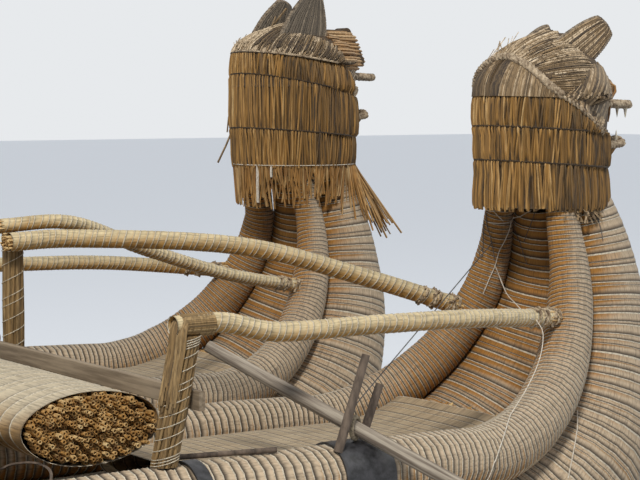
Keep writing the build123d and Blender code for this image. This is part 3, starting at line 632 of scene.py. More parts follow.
def bound_bundle(
    name, points, radii, pitch, sides, twine_r, reed,
    puff=0.012, squeeze=((0, 1), (1, 1)), wobble=0.2, drift=1.0, oval=1.0, square=1.0, uneven=0.0,
):
    """A reed bundle bound with twine: one puff between two turns, repeated, then bent along its path.

    squeeze gives the pitch's share along the path, as (fraction of length, share) pairs. The turns
    lean by wobble and slide by uneven, in pitches; oval and square flatten the section.
    """
    base, edge, length = max(radii), twine_r / pitch, path_length(points)
    shares, turns, count = turns_along(length, pitch, squeeze)
    cell = one_turn(name, base, edge, twine_r, puff, sides, reed)
    repeat_along(cell, count)
    mesh = cell.data
    coords = vertex_places(mesh)
    angle = np.arctan2(coords[:, 2], coords[:, 1])
    turn = coords[:, 0]
    part = turn - np.floor(turn + 1e-6)
    # How far past the twine each spot lies; the material paints a shadow over this run.
    bind = np.where(part > 0.999, 0.0, np.maximum(0.0, part - edge))
    sway = wobble * np.sin(angle + drift * (1.7 * np.sin(turn * 0.11) + 0.5 * np.sin(turn * 0.53)))
    calm = np.minimum(1.0, np.minimum(turn, count - turn))
    sway += uneven * (np.sin(2.1 * turn) + 0.8 * np.sin(3.4 * turn + 1.0) + np.sin(0.37 * turn))
    turn = np.clip(turn + sway * calm, 0, count)
    if square != 1.0:
        across = np.hypot(coords[:, 1], coords[:, 2])
        coords[:, 1] = across * np.sign(coords[:, 1]) * np.abs(np.cos(angle)) ** square
        coords[:, 2] = across * np.sign(coords[:, 2]) * np.abs(np.sin(angle)) ** square
    lump = 1 + 0.008 * np.sin(3 * angle + 0.21 * turn) + 0.006 * np.sin(5 * angle - 0.33 * turn + 1.0)
    coords[:, 1] *= lump
    coords[:, 2] *= lump * oval
    coords[:, 0] = np.interp(turn, turns, shares) * length
    mesh.vertices.foreach_set("co", coords.ravel())
    add_values(mesh, "reed", coords, "FLOAT_VECTOR")
    add_values(mesh, "bind", bind)
    bend_along(cell, points, [radius / base for radius in radii])
    recalculate(cell)
    smooth(cell)
    return cell


def tone_near(rng, middle, spread=0.18):
    return min(1.0, max(0.0, rng.gauss(middle, spread)))


def reeds(name, paths, radii, finish, tones=None, sides=0, shade_fade=0.0):
    """Many thin reeds, each a tube along its own path; each has a tone, that can darken towards its end as
    painted shade.
    """
    curve = bpy.data.curves.new(name, "CURVE")
    curve.dimensions = "3D"
    curve.bevel_depth = 1.0
    curve.bevel_resolution = sides
    curve.use_fill_caps = True
    for index, path in enumerate(paths):
        spline = curve.splines.new("POLY")
        spline.points.add(len(path) - 1)
        width = radii[index] if hasattr(radii, "__len__") else radii
        for spot, place in zip(spline.points, path):
            spot.co = (*place[:3], 1)
            spot.radius = width * (place[3] if len(place) > 3 else 1.0)
    obj = bpy.data.objects.new(name, curve)
    bpy.context.scene.collection.objects.link(obj)
    activate(obj)
    bpy.ops.object.convert(target="MESH")
    obj = bpy.context.active_object
    obj.name = name
    mesh = obj.data
    if tones is None:
        rng = random.Random(sizes().seed + len(paths))
        tones = [tone_near(rng, 0.45, 0.22) for _ in paths]
    lengths = np.array([len(path) for path in paths], dtype=float)
    ends = np.cumsum(lengths) / lengths.sum() * len(mesh.vertices)
    spots = np.arange(len(mesh.vertices)) + 0.5
    owner = np.clip(np.searchsorted(ends, spots), 0, len(paths) - 1)
    starts = np.concatenate(([0.0], ends[:-1]))
    run = (spots - starts[owner]) / (ends[owner] - starts[owner])
    add_values(mesh, "tone", np.maximum(0.0, np.array(tones)[owner] - shade_fade * run**2))
    mesh.materials.append(material(finish))
    smooth(obj, 60)
    return obj


def rope(name, points, radius, finish, turn=0.05, strands=2, per_turn=8):
    """Laid rope: strands that wind round each other along the path."""
    dense = resample(points, turn / per_turn)
    paths = []
    for strand in range(strands):
        path = []
        for index, (place, forward) in enumerate(dense):
            reference = Vector((0, 0, 1)) if abs(forward.z) < 0.9 else Vector((1, 0, 0))
            side = (reference - forward * reference.dot(forward)).normalized()
            other = forward.cross(side)
            angle = 2 * pi * (index / per_turn + strand / strands)
            path.append(place + (side * cos(angle) + other * sin(angle)) * radius * 0.5)
        paths.append(path)
    return reeds(name, paths, radius * 0.55, finish, tones=[0.5] * strands, sides=1)


def resample(points, step):
    """Even points along a path, each with its direction."""
    points = [Vector(p) for p in points]
    result = []
    total = path_length(points)
    count = max(2, int(ceil(total / step)))
    for index in range(count + 1):
        left = total * index / count
        for a, b in zip(points, points[1:]):
            span = (b - a).length
            if left <= span + 1e-9 or b is points[-1]:
                result.append((a.lerp(b, min(1.0, left / span)), (b - a).normalized()))
                break
            left -= span
    return result


def arc_points(points, steps=8):
    """Catmull-Rom curve through the points."""
    points = [Vector(p) for p in points]
    full = [2 * points[0] - points[1], *points, 2 * points[-1] - points[-2]]
    result = []
    for a, b, c, d in zip(full, full[1:], full[2:], full[3:]):
        slope, bend, twist = c - a, 2 * a - 5 * b + 4 * c - d, 3 * b - a - 3 * c + d
        for step in range(steps):
            t = step / steps
            result.append(0.5 * ((2 * b) + slope * t + bend * t * t + twist * t**3))
    return [*result, points[-1]]


# Hull bundles


def radii_at(table, turn):
    turns = [row[0] for row in table]
    return [float(np.interp(turn, turns, [row[column] for row in table])) for column in range(1, 5)]


def stations(top):
    """Frames along a hull, stern tip to neck: x, z, up direction in the side view, radii."""
    rows = []

    def stern(turn, run, radii):
        a = radians(turn)
        x = STERN_X - STERN_R * sin(a) - run * cos(a)
        z = MAIN_Z + STERN_R * (1 - cos(a)) + run * sin(a)
        rows.append((x, z, (sin(a), cos(a)), radii))

    def bow(turn, run, radii):
        a = radians(turn)
        x = BOW_X + BOW_R * sin(a) + run * cos(a)
        z = MAIN_Z + BOW_R * (1 - cos(a)) + run * sin(a)
        rows.append((x, z, (-sin(a), cos(a)), radii))

    stern(72, TIP_RUN, TIP)
    stern(72, TIP_RUN / 2, tuple((a + b) / 2 for a, b in zip(TIP, STERN[-1][1:])))
    for turn in range(72, -1, -3):
        stern(turn, 0, radii_at(STERN, turn))
    for x in np.linspace(-FULL_X, FULL_X, 21):
        rows.append((float(x), MAIN_Z, (0, 1), MIDDLE))
    for turn in range(0, 105, 4):
        bow(turn, 0, radii_at(BOW, turn))
    a = radians(104)
    x0, z0 = BOW_X + BOW_R * sin(a), MAIN_Z + BOW_R * (1 - cos(a))
    run = (top - z0) / sin(a)
    last = BOW[-1][1:]
    for share in (0.34, 0.67, 1.0):
        tilt = a + (pi / 2 - a) * share
        radii = tuple(p + (q - p) * share for p, q in zip(last, NECK))
        rows.append((x0 + run * share * cos(a), z0 + run * share * sin(a), (-sin(tilt), cos(tilt)), radii))
    return rows


def bundle_path(rows, hull, side, which):
    """Centre line and radii of one bundle: which is main, outer or inner."""
    points, radii = [], []
    for x, z, (up_x, up_z), (main, outer, inner, lift) in rows:
        if which == "main":
            points.append(Vector((x, hull + side * FLAT * main, z)))
            radii.append(main)
        else:
            rail = outer if which == "outer" else inner
            reach = main + rail + lift
            out, up = FLAT * main + reach * sin(LEAN), reach * cos(LEAN)
            points.append(Vector((x + up_x * up, hull + side * out, z + up_z * up)))
            radii.append(rail)
    return points, radii


def stub_paths(centre, across, upward, normal, half_w, half_h, pitch, length, rng, ragged=0.02):
    """Short stalks packed over an oval end."""
    paths = []
    rows = int(half_h / (pitch * 0.866)) + 1
    for row in range(-rows, rows + 1):
        y = row * pitch * 0.866
        columns = int(half_w / pitch) + 1
        for column in range(-columns, columns + 1):
            x = (column + 0.5 * (row % 2)) * pitch
            x += rng.uniform(-0.2, 0.2) * pitch
            v = y + rng.uniform(-0.2, 0.2) * pitch
            if (x / half_w) ** 2 + (v / half_h) ** 2 > 0.93:
                continue
            root = centre + across * x + upward * v
            reach = length + rng.uniform(-ragged, ragged)
            sideways = across * rng.uniform(-0.1, 0.1) * reach
            tip = root + normal * reach + sideways + upward * rng.uniform(-0.1, 0.1) * reach
            paths.append((root - normal * 0.01, tip))
    return paths


# The pitch's share along a hull, from the stern: twine lies closer where the bundles curve up.
MAIN_SQUEEZE = ((0, 0.7), (0.16, 0.8), (0.24, 1), (0.78, 1), (0.9, 0.9), (1, 0.75))
GUNWALE_SQUEEZE = ((0, 0.7), (0.15, 0.8), (0.24, 1), (0.76, 1), (0.86, 0.62), (1, 0.5))
# The two main bundles of a hull stay this far off its middle plane.
MIDDLE_CLEAR = 0.0004


class REEDBOAT_OT_hulls(bpy.types.Operator):
    """Big hull bundles and gunwale bundles, bound with twine"""

    bl_idname = "reedboat.hulls"
    bl_label = "Hull Bundles"

    def main_bundle(self, node, points, radii, hull, side):
        """One of the two big bundles, cut flat where they meet."""
        piece = bound_bundle(
            f"{node}_reeds", points, radii, sizes().main_pitch, 20, 0.0024, "hull reeds",
            puff=0.008, wobble=0.35, uneven=0.17, squeeze=MAIN_SQUEEZE,
        )
        coords = vertex_places(piece.data)
        off = (coords[:, 1] - hull) * side
        coords[:, 1] = np.where(off < MIDDLE_CLEAR, hull + side * MIDDLE_CLEAR, coords[:, 1])
        piece.data.vertices.foreach_set("co", coords.ravel())
        return piece

    def gunwale_bundle(self, node, points, radii):
        return bound_bundle(
            f"{node}_reeds", points, radii, sizes().gunwale_pitch, 14, 0.0021, "gunwale reeds",
            puff=0.018, wobble=0.3, uneven=0.05, squeeze=GUNWALE_SQUEEZE,
        )

    def cut_stern(self, points, radius, rng):
        """Cut reed ends over the stern tip of a bundle."""
        back = (points[0] - points[1]).normalized()
        across = Vector((0, 1, 0))
        upward = back.cross(across).normalized()
        half = radius * 0.98
        return stub_paths(points[0], across, upward, back, half, half, 0.013, 0.012, rng, 0.012)

    def execute(self, context):
        rng = random.Random(sizes().seed)
        tail_paths, tail_radii = [], []
        for hull_name, hull in HULLS:
            rows = stations(NECK_TOP[hull_name])
            for side in (-1, 1):
                place = "outer" if side * hull > 0 else "inner"
                for which in ("main", place):
                    points, radii = bundle_path(rows, hull, side, which)
                    if which == "main":
                        node = f"{hull_name}_main_{place}"
                        piece = self.main_bundle(node, points, radii, hull, side)
                    else:
                        node = f"{hull_name}_gunwale_{place}"
                        piece = self.gunwale_bundle(node, points, radii)
                    finish_piece(piece, (node,))
                    stubs = self.cut_stern(points, radii[0], rng)
                    if which == "main":
                        stubs = [s for s in stubs if (s[0].y - hull) * side > 0.004]
                    tail_paths += stubs
                    tail_radii += [0.0062 * rng.uniform(0.7, 1.1) for _ in stubs]
        finish_piece(reeds("stern_cut_reeds", tail_paths, tail_radii, "cut reeds"))
        return {"FINISHED"}


# Rails and posts


OUTER_ROUTE = (
    (2.043, 1.3758, 1.0078), (2.225, 1.3758, 1.0078), (2.440, 1.372, 0.9615), (2.820, 1.365, 0.957),
    (3.300, 1.328, 0.941), (3.850, 1.156, 0.888),
)
STARBOARD_ROUTE = (
    (2.113, 0.0753, 1.182), (2.415, 0.0753, 1.182), (3.000, 0.265, 1.140), (3.450, 0.435, 1.012),
    (3.880, 0.578, 0.866),
)
PORT_ROUTE = (
    (2.113, 0.0, 1.2373), (2.415, 0.0, 1.2373), (2.870, 0.235, 1.098), (3.360, 0.395, 0.958),
    (3.880, 0.575, 0.858),
)
OUTER_RAIL_R = 0.0325
# Each rail's node, side, radius and route; a route's y counts outwards.
RAIL_ROUTES = (
    ("starboard_rail_outer", -1, OUTER_RAIL_R, OUTER_ROUTE),
    ("port_rail_outer", 1, OUTER_RAIL_R, OUTER_ROUTE),
    ("rail_starboard", -1, 0.035, STARBOARD_ROUTE),
    ("rail_port", 1, 0.027, PORT_ROUTE),
)
RAIL_FRAYS, POST_FRAYS, POST_REEDS = 60, 46, 34
# Twine on a post: where it starts and stops as shares of the height, its turns and its slant.
POST_WINDS = ((0.02, 0.09, 3, 0.2), (0.10, 0.62, 6, 0.0), (0.90, 0.98, 4, 0.0), (0.58, 0.88, 3, 0.4))


def rail_line(side, route):
    return arc_points([Vector((x, side * y, z)) for x, y, z in route], 6)


def round_place(bearing):
    """Level unit vector at a bearing."""
    return Vector((cos(bearing), sin(bearing), 0))


class REEDBOAT_OT_rails(bpy.types.Operator):
    """Hand rails and posts, wound with twine, with frayed ends"""

    bl_idname = "reedboat.rails"
    bl_label = "Rails and Posts"

    def frayed_end(self, centre, way, reach, radius, fray, fray_r, rng):
        """Loose reed ends that spread from a rail's end."""
        out = way.orthogonal().normalized()
        other = way.cross(out)
        for _ in range(RAIL_FRAYS):
            turn, spread = rng.uniform(0, 2 * pi), sqrt(rng.random()) * radius * 0.93
            root = centre + (out * cos(turn) + other * sin(turn)) * spread
            bend = (out * cos(turn) + other * sin(turn)) * rng.uniform(0.0, 0.18) * reach
            long = reach * rng.uniform(0.6, 1.15)
            fray.append((root - way * 0.01, root + way * long * 0.6 + bend * 0.4, root + way * long + bend))
            fray_r.append(rng.uniform(0.003, 0.005))

    def rail(self, node, side, radius, route, fray, fray_r, rng):
        """One rail and the loose reeds at its ends."""
        points = rail_line(side, route)
        piece = bound_bundle(
            f"{node}_reeds", points, [radius] * len(points), sizes().rail_pitch, 12, 0.0016, "rail reeds",
            puff=0.025, wobble=0.45, drift=0.35, uneven=0.1,
        )
        finish_piece(piece, (node,))
        forward = (points[-1] - points[-2]).normalized()
        self.frayed_end(points[-1] - forward * 0.10, forward, 0.17, radius, fray, fray_r, rng)
        if route is not OUTER_ROUTE:
            backward = (points[0] - points[1]).normalized()
            self.frayed_end(points[0], backward, 0.016, radius, fray, fray_r, rng)

    def post_reeds(self, node, foot, top, radius, rng):
        """Reeds that twist slightly round a post's core."""
        paths, widths, tones = [], [], []
        for number in range(POST_REEDS):
            turn = 2 * pi * (number + rng.uniform(-0.3, 0.3)) / POST_REEDS
            deep = radius - 0.0062 - 0.006 * (number % 2)
            path = []
            for step in range(9):
                share = step / 8
                bearing = turn + 0.35 * share + 0.10 * sin(5 * share + number)
                waist = 1 - 0.03 * sin(9 * share)
                path.append((*(foot.lerp(top, share) + round_place(bearing) * deep * waist), 1.0))
            paths.append(path)
            widths.append(rng.uniform(0.0052, 0.0072))
            tones.append(tone_near(rng, 0.5))
        piece = reeds(f"{node}_reeds", paths, widths, "post reeds", tones, sides=2)
        finish_piece(piece, (node,))
        middle = [tuple(foot), tuple(foot.lerp(top, 0.5)), tuple(top)]
        # A near-black core inside the reeds: painted shade between them.
        core = reeds(f"{node}_core", [middle], radius - 0.012, "core in painted shade", [0.2], sides=3)
        finish_piece(core)

    def post_string(self, node, foot, top, radius):
        """Turns of thin twine round a post."""
        winds = []
        for start, stop, turns, slant in POST_WINDS:
            line = []
            for step in range(turns * 12 + 1):
                share = step / (turns * 12)
                bearing = 2 * pi * turns * share + slant
                wave = 0.010 * sin(2 * pi * turns * share + 2.0 + slant)
                place = foot.lerp(top, start + (stop - start) * share) + Vector((0, 0, wave))
                line.append(place + round_place(bearing) * (radius + 0.0012))
            winds.append(line)
        string = reeds(f"{node}_string", winds, 0.0015, "twine", [0.5] * len(winds))
        finish_piece(string)

    def post(self, node, fray, fray_r, rng):
        """One post from its CAD box; the outer posts rake, the centre one is upright."""
        low, high = (Vector(v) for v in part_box(node))
        radius = (high.y - low.y) / 2
        if node == "centre_post":
            middle_x = (low.x + high.x) / 2
            foot, top = Vector((middle_x, 0, low.z)), Vector((middle_x, 0, high.z))
        else:
            y = (high.y + low.y) / 2
            foot, top = Vector((low.x + radius, y, low.z)), Vector((high.x - radius, y, high.z))
        self.post_reeds(node, foot, top, radius, rng)
        self.post_string(node, foot, top, radius)
        for _ in range(POST_FRAYS):
            turn, spread = rng.uniform(0, 2 * pi), sqrt(rng.random()) * radius * 0.9
            root = top + round_place(turn) * spread
            fray.append((root - Vector((0, 0, 0.02)), root + Vector((0, 0, rng.uniform(-0.004, 0.0)))))
            fray_r.append(rng.uniform(0.0045, 0.006))

    def execute(self, context):
        rng = random.Random(sizes().seed + 1)
        fray, fray_r = [], []
        for node, side, radius, route in RAIL_ROUTES:
            self.rail(node, side, radius, route, fray, fray_r, rng)
        for node in ("starboard_post", "port_post", "centre_post"):
            self.post(node, fray, fray_r, rng)
        loose = [tuple(p) for p in with_middles(fray)]
        finish_piece(reeds("rail_cut_reeds", loose, fray_r, "cut reeds"))
        return {"FINISHED"}


def with_middles(paths):
    """Gives a path of two points a third one in the middle."""
    return [(p[0], (Vector(p[0]) + Vector(p[1])) / 2, p[1]) if len(p) == 2 else p for p in paths]


# Deck and seats


STALK_SIDES = 6


def hollow_stalk(name):
    """A cut hollow stalk: wall, rim and bore, one unit long."""
    obj = turned(name, ((0.0, 1.0), (1.0, 1.0), (1.0, 0.62), (0.5, 0.5)), STALK_SIDES)
    activate(obj)
    bpy.ops.object.mode_set(mode="EDIT")
    bpy.ops.mesh.select_mode(type="EDGE")
    bpy.ops.mesh.edge_face_add()
    bpy.ops.object.mode_set(mode="OBJECT")
    return obj


ACROSS, UPRIGHT = Vector((1, 0, 0)), Vector((0, 0, 1))
STALK_PITCH = {"thwart_front": 0.0158, "thwart_rear": 0.020}
DECK_COUNT = 20


class REEDBOAT_OT_deck(bpy.types.Operator):
    """Seat bundles with cut ends, deck bundles and the reed pads between the gunwales"""

    bl_idname = "reedboat.deck"
    bl_label = "Deck and Seats"

    def seat(self, node, low, high):
        """A seat bundle, flattened to its CAD box."""
        middle = (low + high) / 2
        half_w, half_h = (high.x - low.x) / 2, (high.z - low.z) / 2
        points = [Vector((middle.x, y, middle.z)) for y in np.linspace(low.y, high.y, 9)]
        piece = bound_bundle(
            f"{node}_reeds", points, [half_w] * 9, 0.075, 40, 0.0022, "seat reeds",
            puff=0.008, wobble=0.12, uneven=0.1,
        )
        coords = vertex_places(piece.data)
        coords[:, 2] = middle.z + (coords[:, 2] - middle.z) * half_h / half_w
        piece.data.vertices.foreach_set("co", coords.ravel())
        finish_piece(piece, (node,))

    def cut_stalk(self, stalk, root, tip, pitch, rng):
        """A copy of the hollow stalk, laid from root to tip, with its bore painted dark as shade."""
        copy = stalk.copy()
        copy.data = stalk.data.copy()
        way = Vector(tip) - Vector(root)
        width = 0.52 * pitch * rng.uniform(0.75, 1.15)
        turn = way.to_track_quat("X", "Z").to_matrix().to_4x4()
        stretch = Matrix.Diagonal((way.length, width, width, 1))
        copy.matrix_world = Matrix.Translation(root) @ turn @ stretch
        copy.data.transform(copy.matrix_world)
        copy.matrix_world = Matrix.Identity(4)
        values = np.full(len(copy.data.vertices), min(1.0, max(0.05, rng.gauss(0.5, 0.22))))
        # Painted shade: the bore's floor takes the darkest tone.
        values[-STALK_SIDES:] = 0.0
        add_values(copy.data, "tone", values)
        bpy.context.scene.collection.objects.link(copy)
        return copy

    def seat_ends(self, node, low, high, stalk, rng):
        """Hollow reeds packed over both ends of a seat bundle."""
        middle = (low + high) / 2
        half_w, half_h = (high.x - low.x) / 2 * 0.97, (high.z - low.z) / 2 * 0.97
        pitch = STALK_PITCH[node]
        stalks = []
        for end, face_y in ((-1, low.y), (1, high.y)):
            normal = Vector((0, end, 0))
            centre = Vector((middle.x, face_y - end * 0.02, middle.z))
            stalks += stub_paths(centre, ACROSS, UPRIGHT, normal, half_w, half_h, pitch, 0.030, rng, 0.022)
        copies = [self.cut_stalk(stalk, root, tip, pitch, rng) for root, tip in stalks]
        cut = join(copies, f"{node}_cut_ends")
        cut.data.materials.append(material("cut reeds"))
        finish_piece(cut)

    def floor_pad(self, hull_name, hull, rng):
        """The reed pad between a hull's gunwales; returns the reeds of its ragged end."""
        points = []
        for x in np.linspace(PAD_START + 0.001, FULL_X, 5):
            points.append(Vector((float(x), hull, MAIN_Z + MIDDLE[0] + 0.0003 + PAD_THICK / 2)))
        for turn in range(0, 37, 6):
            a = radians(turn)
            reach = BOW_R - radii_at(BOW, turn)[0] - PAD_LIFT - PAD_THICK / 2
            points.append(Vector((BOW_X + reach * sin(a), hull, MAIN_Z + BOW_R - reach * cos(a))))
        mat = bound_bundle(
            f"{hull_name}_floor_pad_reeds", points, [0.336] * len(points), 0.045, 44, 0.0016, "pad reeds",
            puff=0.004, wobble=0.12, oval=0.154, square=0.5, uneven=0.08,
        )
        finish_piece(mat, (f"{hull_name}_floor_pad",))
        way = (points[-1] - points[-2]).normalized()
        sideways = Vector((0, 1, 0))
        upward = sideways.cross(way)
        return stub_paths(points[-1], sideways, upward, way, 0.334, 0.046, 0.014, 0.014, rng, 0.02)

    def deck_bundles(self, rng):
        """Cross bundles of the deck: one bundle, copied along the boat, and their cut ends."""
        low, high = (Vector(v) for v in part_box("deck_bundles"))
        radius = (high.z - low.z) / 2
        points = [Vector((low.x + radius, y, low.z + radius)) for y in np.linspace(low.y, high.y, 7)]
        first = bound_bundle("deck_bundle", points, [radius] * 7, 0.14, 14, 0.003, "seat reeds", puff=0.03)
        stubs, stub_r = [], []
        pitch = (high.x - low.x - 2 * radius) / (DECK_COUNT - 1)
        half = radius * 0.97
        copies = []
        for index in range(DECK_COUNT):
            copy = first.copy()
            copy.data = first.data.copy()
            copy.data.transform(Matrix.Translation((pitch * index, 0, rng.uniform(-0.002, 0.002))))
            bpy.context.scene.collection.objects.link(copy)
            copies.append(copy)
            for end, face_y in ((-1, low.y), (1, high.y)):
                centre = Vector((low.x + radius + pitch * index, face_y, low.z + radius))
                normal = Vector((0, end, 0))
                spots = stub_paths(centre, ACROSS, UPRIGHT, normal, half, half, 0.019, 0.0, rng, 0.01)
                stubs += spots
                stub_r += [0.0092 * rng.uniform(0.75, 1.1) for _ in spots]
        bpy.data.objects.remove(first)
        finish_piece(join(copies, "deck_bundles_reeds"), ("deck_bundles",))
        finish_piece(reeds("deck_cut_reeds", stubs, stub_r, "cut reeds"))

    def execute(self, context):
        rng = random.Random(sizes().seed + 2)
        stalk = hollow_stalk("stalk")
        for node in STALK_PITCH:
            low, high = (Vector(v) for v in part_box(node))
            self.seat(node, low, high)
            self.seat_ends(node, low, high, stalk, rng)
        bpy.data.objects.remove(stalk)
        ragged = []
        for hull_name, hull in HULLS:
            ragged += self.floor_pad(hull_name, hull, rng)
        widths = [0.0055 * rng.uniform(0.6, 1.1) for _ in ragged]
        finish_piece(reeds("pad_ragged_ends", with_middles(ragged), widths, "cut reeds"))
        self.deck_bundles(rng)
        return {"FINISHED"}


# Heads


# Each head is measured from its upright axis; its seam, brow, cheek and temple lines are given for
# one side, with y below 0, and mirrored. A band is its lower height and radius, then its upper ones;
# tilts say how far the bands' edges dip towards the face. An ear is its side, upper and lower root
# and tip; a jaw is its height and reach.
HEADS = {
    "starboard": {
        "y": -HULL_Y,
        "bands": ((1.292, 0.260, 1.455, 0.249), (1.455, 0.258, 1.587, 0.256), (1.587, 0.265, 1.710, 0.263)),
        "tilts": (0.0, 0.019, 0.018, 0.010),
        "top": 1.962,
        "lift": 0.006,
        "seam": (
            (-0.196, 0.0, 1.872), (-0.186, -0.030, 1.864), (-0.180, -0.108, 1.836),
            (-0.169, -0.173, 1.793), (-0.146, -0.203, 1.758), (-0.113, -0.236, 1.722),
        ),
        "brow": (
            (0.060, 0.0, 1.960), (0.010, -0.080, 1.945), (0.022, -0.135, 1.916), (0.052, -0.180, 1.870),
            (0.058, -0.211, 1.826), (-0.006, -0.244, 1.778), (-0.064, -0.247, 1.744),
            (-0.108, -0.238, 1.724),
        ),
        "cheek": (
            (-0.113, -0.236, 1.718), (-0.060, -0.254, 1.684), (0.000, -0.256, 1.640),
            (0.045, -0.240, 1.600), (0.078, -0.227, 1.576),
        ),
        "temple": (
            (-0.106, -0.238, 1.726), (-0.062, -0.247, 1.746), (-0.008, -0.244, 1.785),
            (0.040, -0.211, 1.836), (0.110, -0.160, 1.850), (0.175, -0.100, 1.835),
            (0.225, -0.100, 1.760), (0.245, -0.130, 1.690),
        ),
        "ears": (
            (-1, (0.000, 0.100, 1.935), (0.100, 0.145, 1.838), (0.185, 0.150, 1.990)),
            (1, (0.000, 0.100, 1.935), (0.100, 0.145, 1.838), (0.170, 0.150, 1.960)),
        ),
        "ear_tone": 0.58,
        "nose_z": 1.730,
        "forehead_z": 1.835,
        "chin_z": 1.587,
        "jaws": ((1.689, 0.450), (1.526, 0.402)),
        "eye": 1.796,
    },
    "port": {
        "y": HULL_Y,
        "bands": ((1.404, 0.280, 1.550, 0.284), (1.550, 0.293, 1.760, 0.289), (1.760, 0.298, 1.872, 0.284)),
        "tilts": (0.0, 0.025, 0.062, 0.047),
        "top": 2.040,
        "lift": 0.016,
        "seam": (
            (-0.280, 0.0, 1.924), (-0.225, -0.172, 1.914), (-0.120, -0.250, 1.898),
            (0.000, -0.278, 1.878), (0.070, -0.270, 1.868),
        ),
        "brow": (
            (-0.040, 0.0, 2.040), (-0.110, -0.090, 2.030), (-0.115, -0.130, 2.015),
            (-0.060, -0.165, 1.995), (0.000, -0.190, 1.975), (0.050, -0.210, 1.940),
            (0.085, -0.250, 1.885),
        ),
        "cheek": (
            (0.075, -0.270, 1.866), (0.110, -0.262, 1.850), (0.150, -0.240, 1.800),
            (0.170, -0.225, 1.750), (0.160, -0.230, 1.715),
        ),
        "temple": (
            (0.080, -0.240, 1.890), (0.150, -0.200, 1.900), (0.220, -0.140, 1.880),
            (0.270, -0.120, 1.840), (0.290, -0.120, 1.780),
        ),
        "ears": (
            (-1, (-0.150, 0.120, 2.010), (0.060, 0.150, 1.905), (0.018, 0.142, 2.174)),
            (1, (-0.150, 0.120, 2.010), (0.060, 0.150, 1.905), (0.024, 0.110, 2.150)),
        ),
        # Painted shade: this head's ears show their shaded backs and are given darker tones and darker reeds.
        "ear_tone": 0.30,
        "nose_z": 1.868,
        "forehead_z": 2.028,
        "chin_z": 1.760,
        "jaws": ((1.812, 0.450), (1.622, 0.402)),
        "eye": 1.934,
    },
}
HEAD_PARTS = ("skirt_band", "jowl_band", "brow_band", "dome")
EAR_TIP_WIDTH, EAR_THICK = 0.082, 0.044
# Counts of reeds and strokes.
NAPE_REEDS, CROWN_REEDS, CHEEK_REEDS, SNOUT_REEDS, SNOUT_ROWS = 150, 88, 190, 84, 11
EAR_REEDS, CHIN_REEDS, FRINGE_REEDS, FRAYED_REEDS = 36, 34, 330, 60


def cad_surface(*names):
    """Search tree over the CAD meshes of the named nodes."""
    corners, faces = [], []
    for name in names:
        node = NODES[name]
        start = len(corners)
        corners += [node.matrix_world @ v.co for v in node.data.vertices]
        faces += [[start + i for i in p.vertices] for p in node.data.polygons]
    return BVHTree.FromPolygons(corners, faces)


def head_axis(head):
    """Where a head's upright axis meets the water."""
    return Vector((HEAD_X, head["y"], 0))


def bands_top(head):
    return head["bands"][-1][2]


def on_head(head, place, proud, dome=False):
    """Moves a place, measured from the head's axis, onto the head's surface and a little proud of it."""
    place = Vector(place)
    base = bands_top(head)
    centre = Vector((0.0, 0.0, base + 0.2 * (head["top"] - base) if dome else place.z))
    way = (place - centre).normalized()
    axis = head_axis(head)
    hit = head["surface"].ray_cast(axis + centre + way, -way)[0]
    if hit is None:
        return place + way * proud
    return hit - axis + way * proud


def on_side(head, places, side):
    """Moves places from the head's axis to the boat's frame: 1 mirrors them to port, -1 keeps them."""
    axis = head_axis(head)
    return [axis + Vector((p.x, -side * p.y, p.z)) for p in places]


def band_radius(head, z):
    """Radius of the CAD bands at a height."""
    for low_z, low_r, high_z, high_r in head["bands"]:
        if z < high_z or high_z == bands_top(head):
            return low_r + (high_r - low_r) * min(1.0, max(0.0, (z - low_z) / (high_z - low_z)))


def widest_radius(head, z, above):
    """Radius of the bands at a height or a little above it, whichever is wider."""
    return max(band_radius(head, z), band_radius(head, min(bands_top(head) - 0.001, z + above)))


def along(points, share):
    """Place at a share of a polyline's length."""
    points = [Vector(p) for p in points]
    left = path_length(points) * min(1.0, max(0.0, share))
    for a, b in zip(points, points[1:]):
        span = (b - a).length
        if left <= span or b is points[-1]:
            return a.lerp(b, min(1.0, left / span))
        left -= span
    return points[-1]


def bearing_of(place):
    """Bearing round the head's axis, measured from dead ahead, in radians; starboard is negative."""
    return atan2(place[1], place[0])


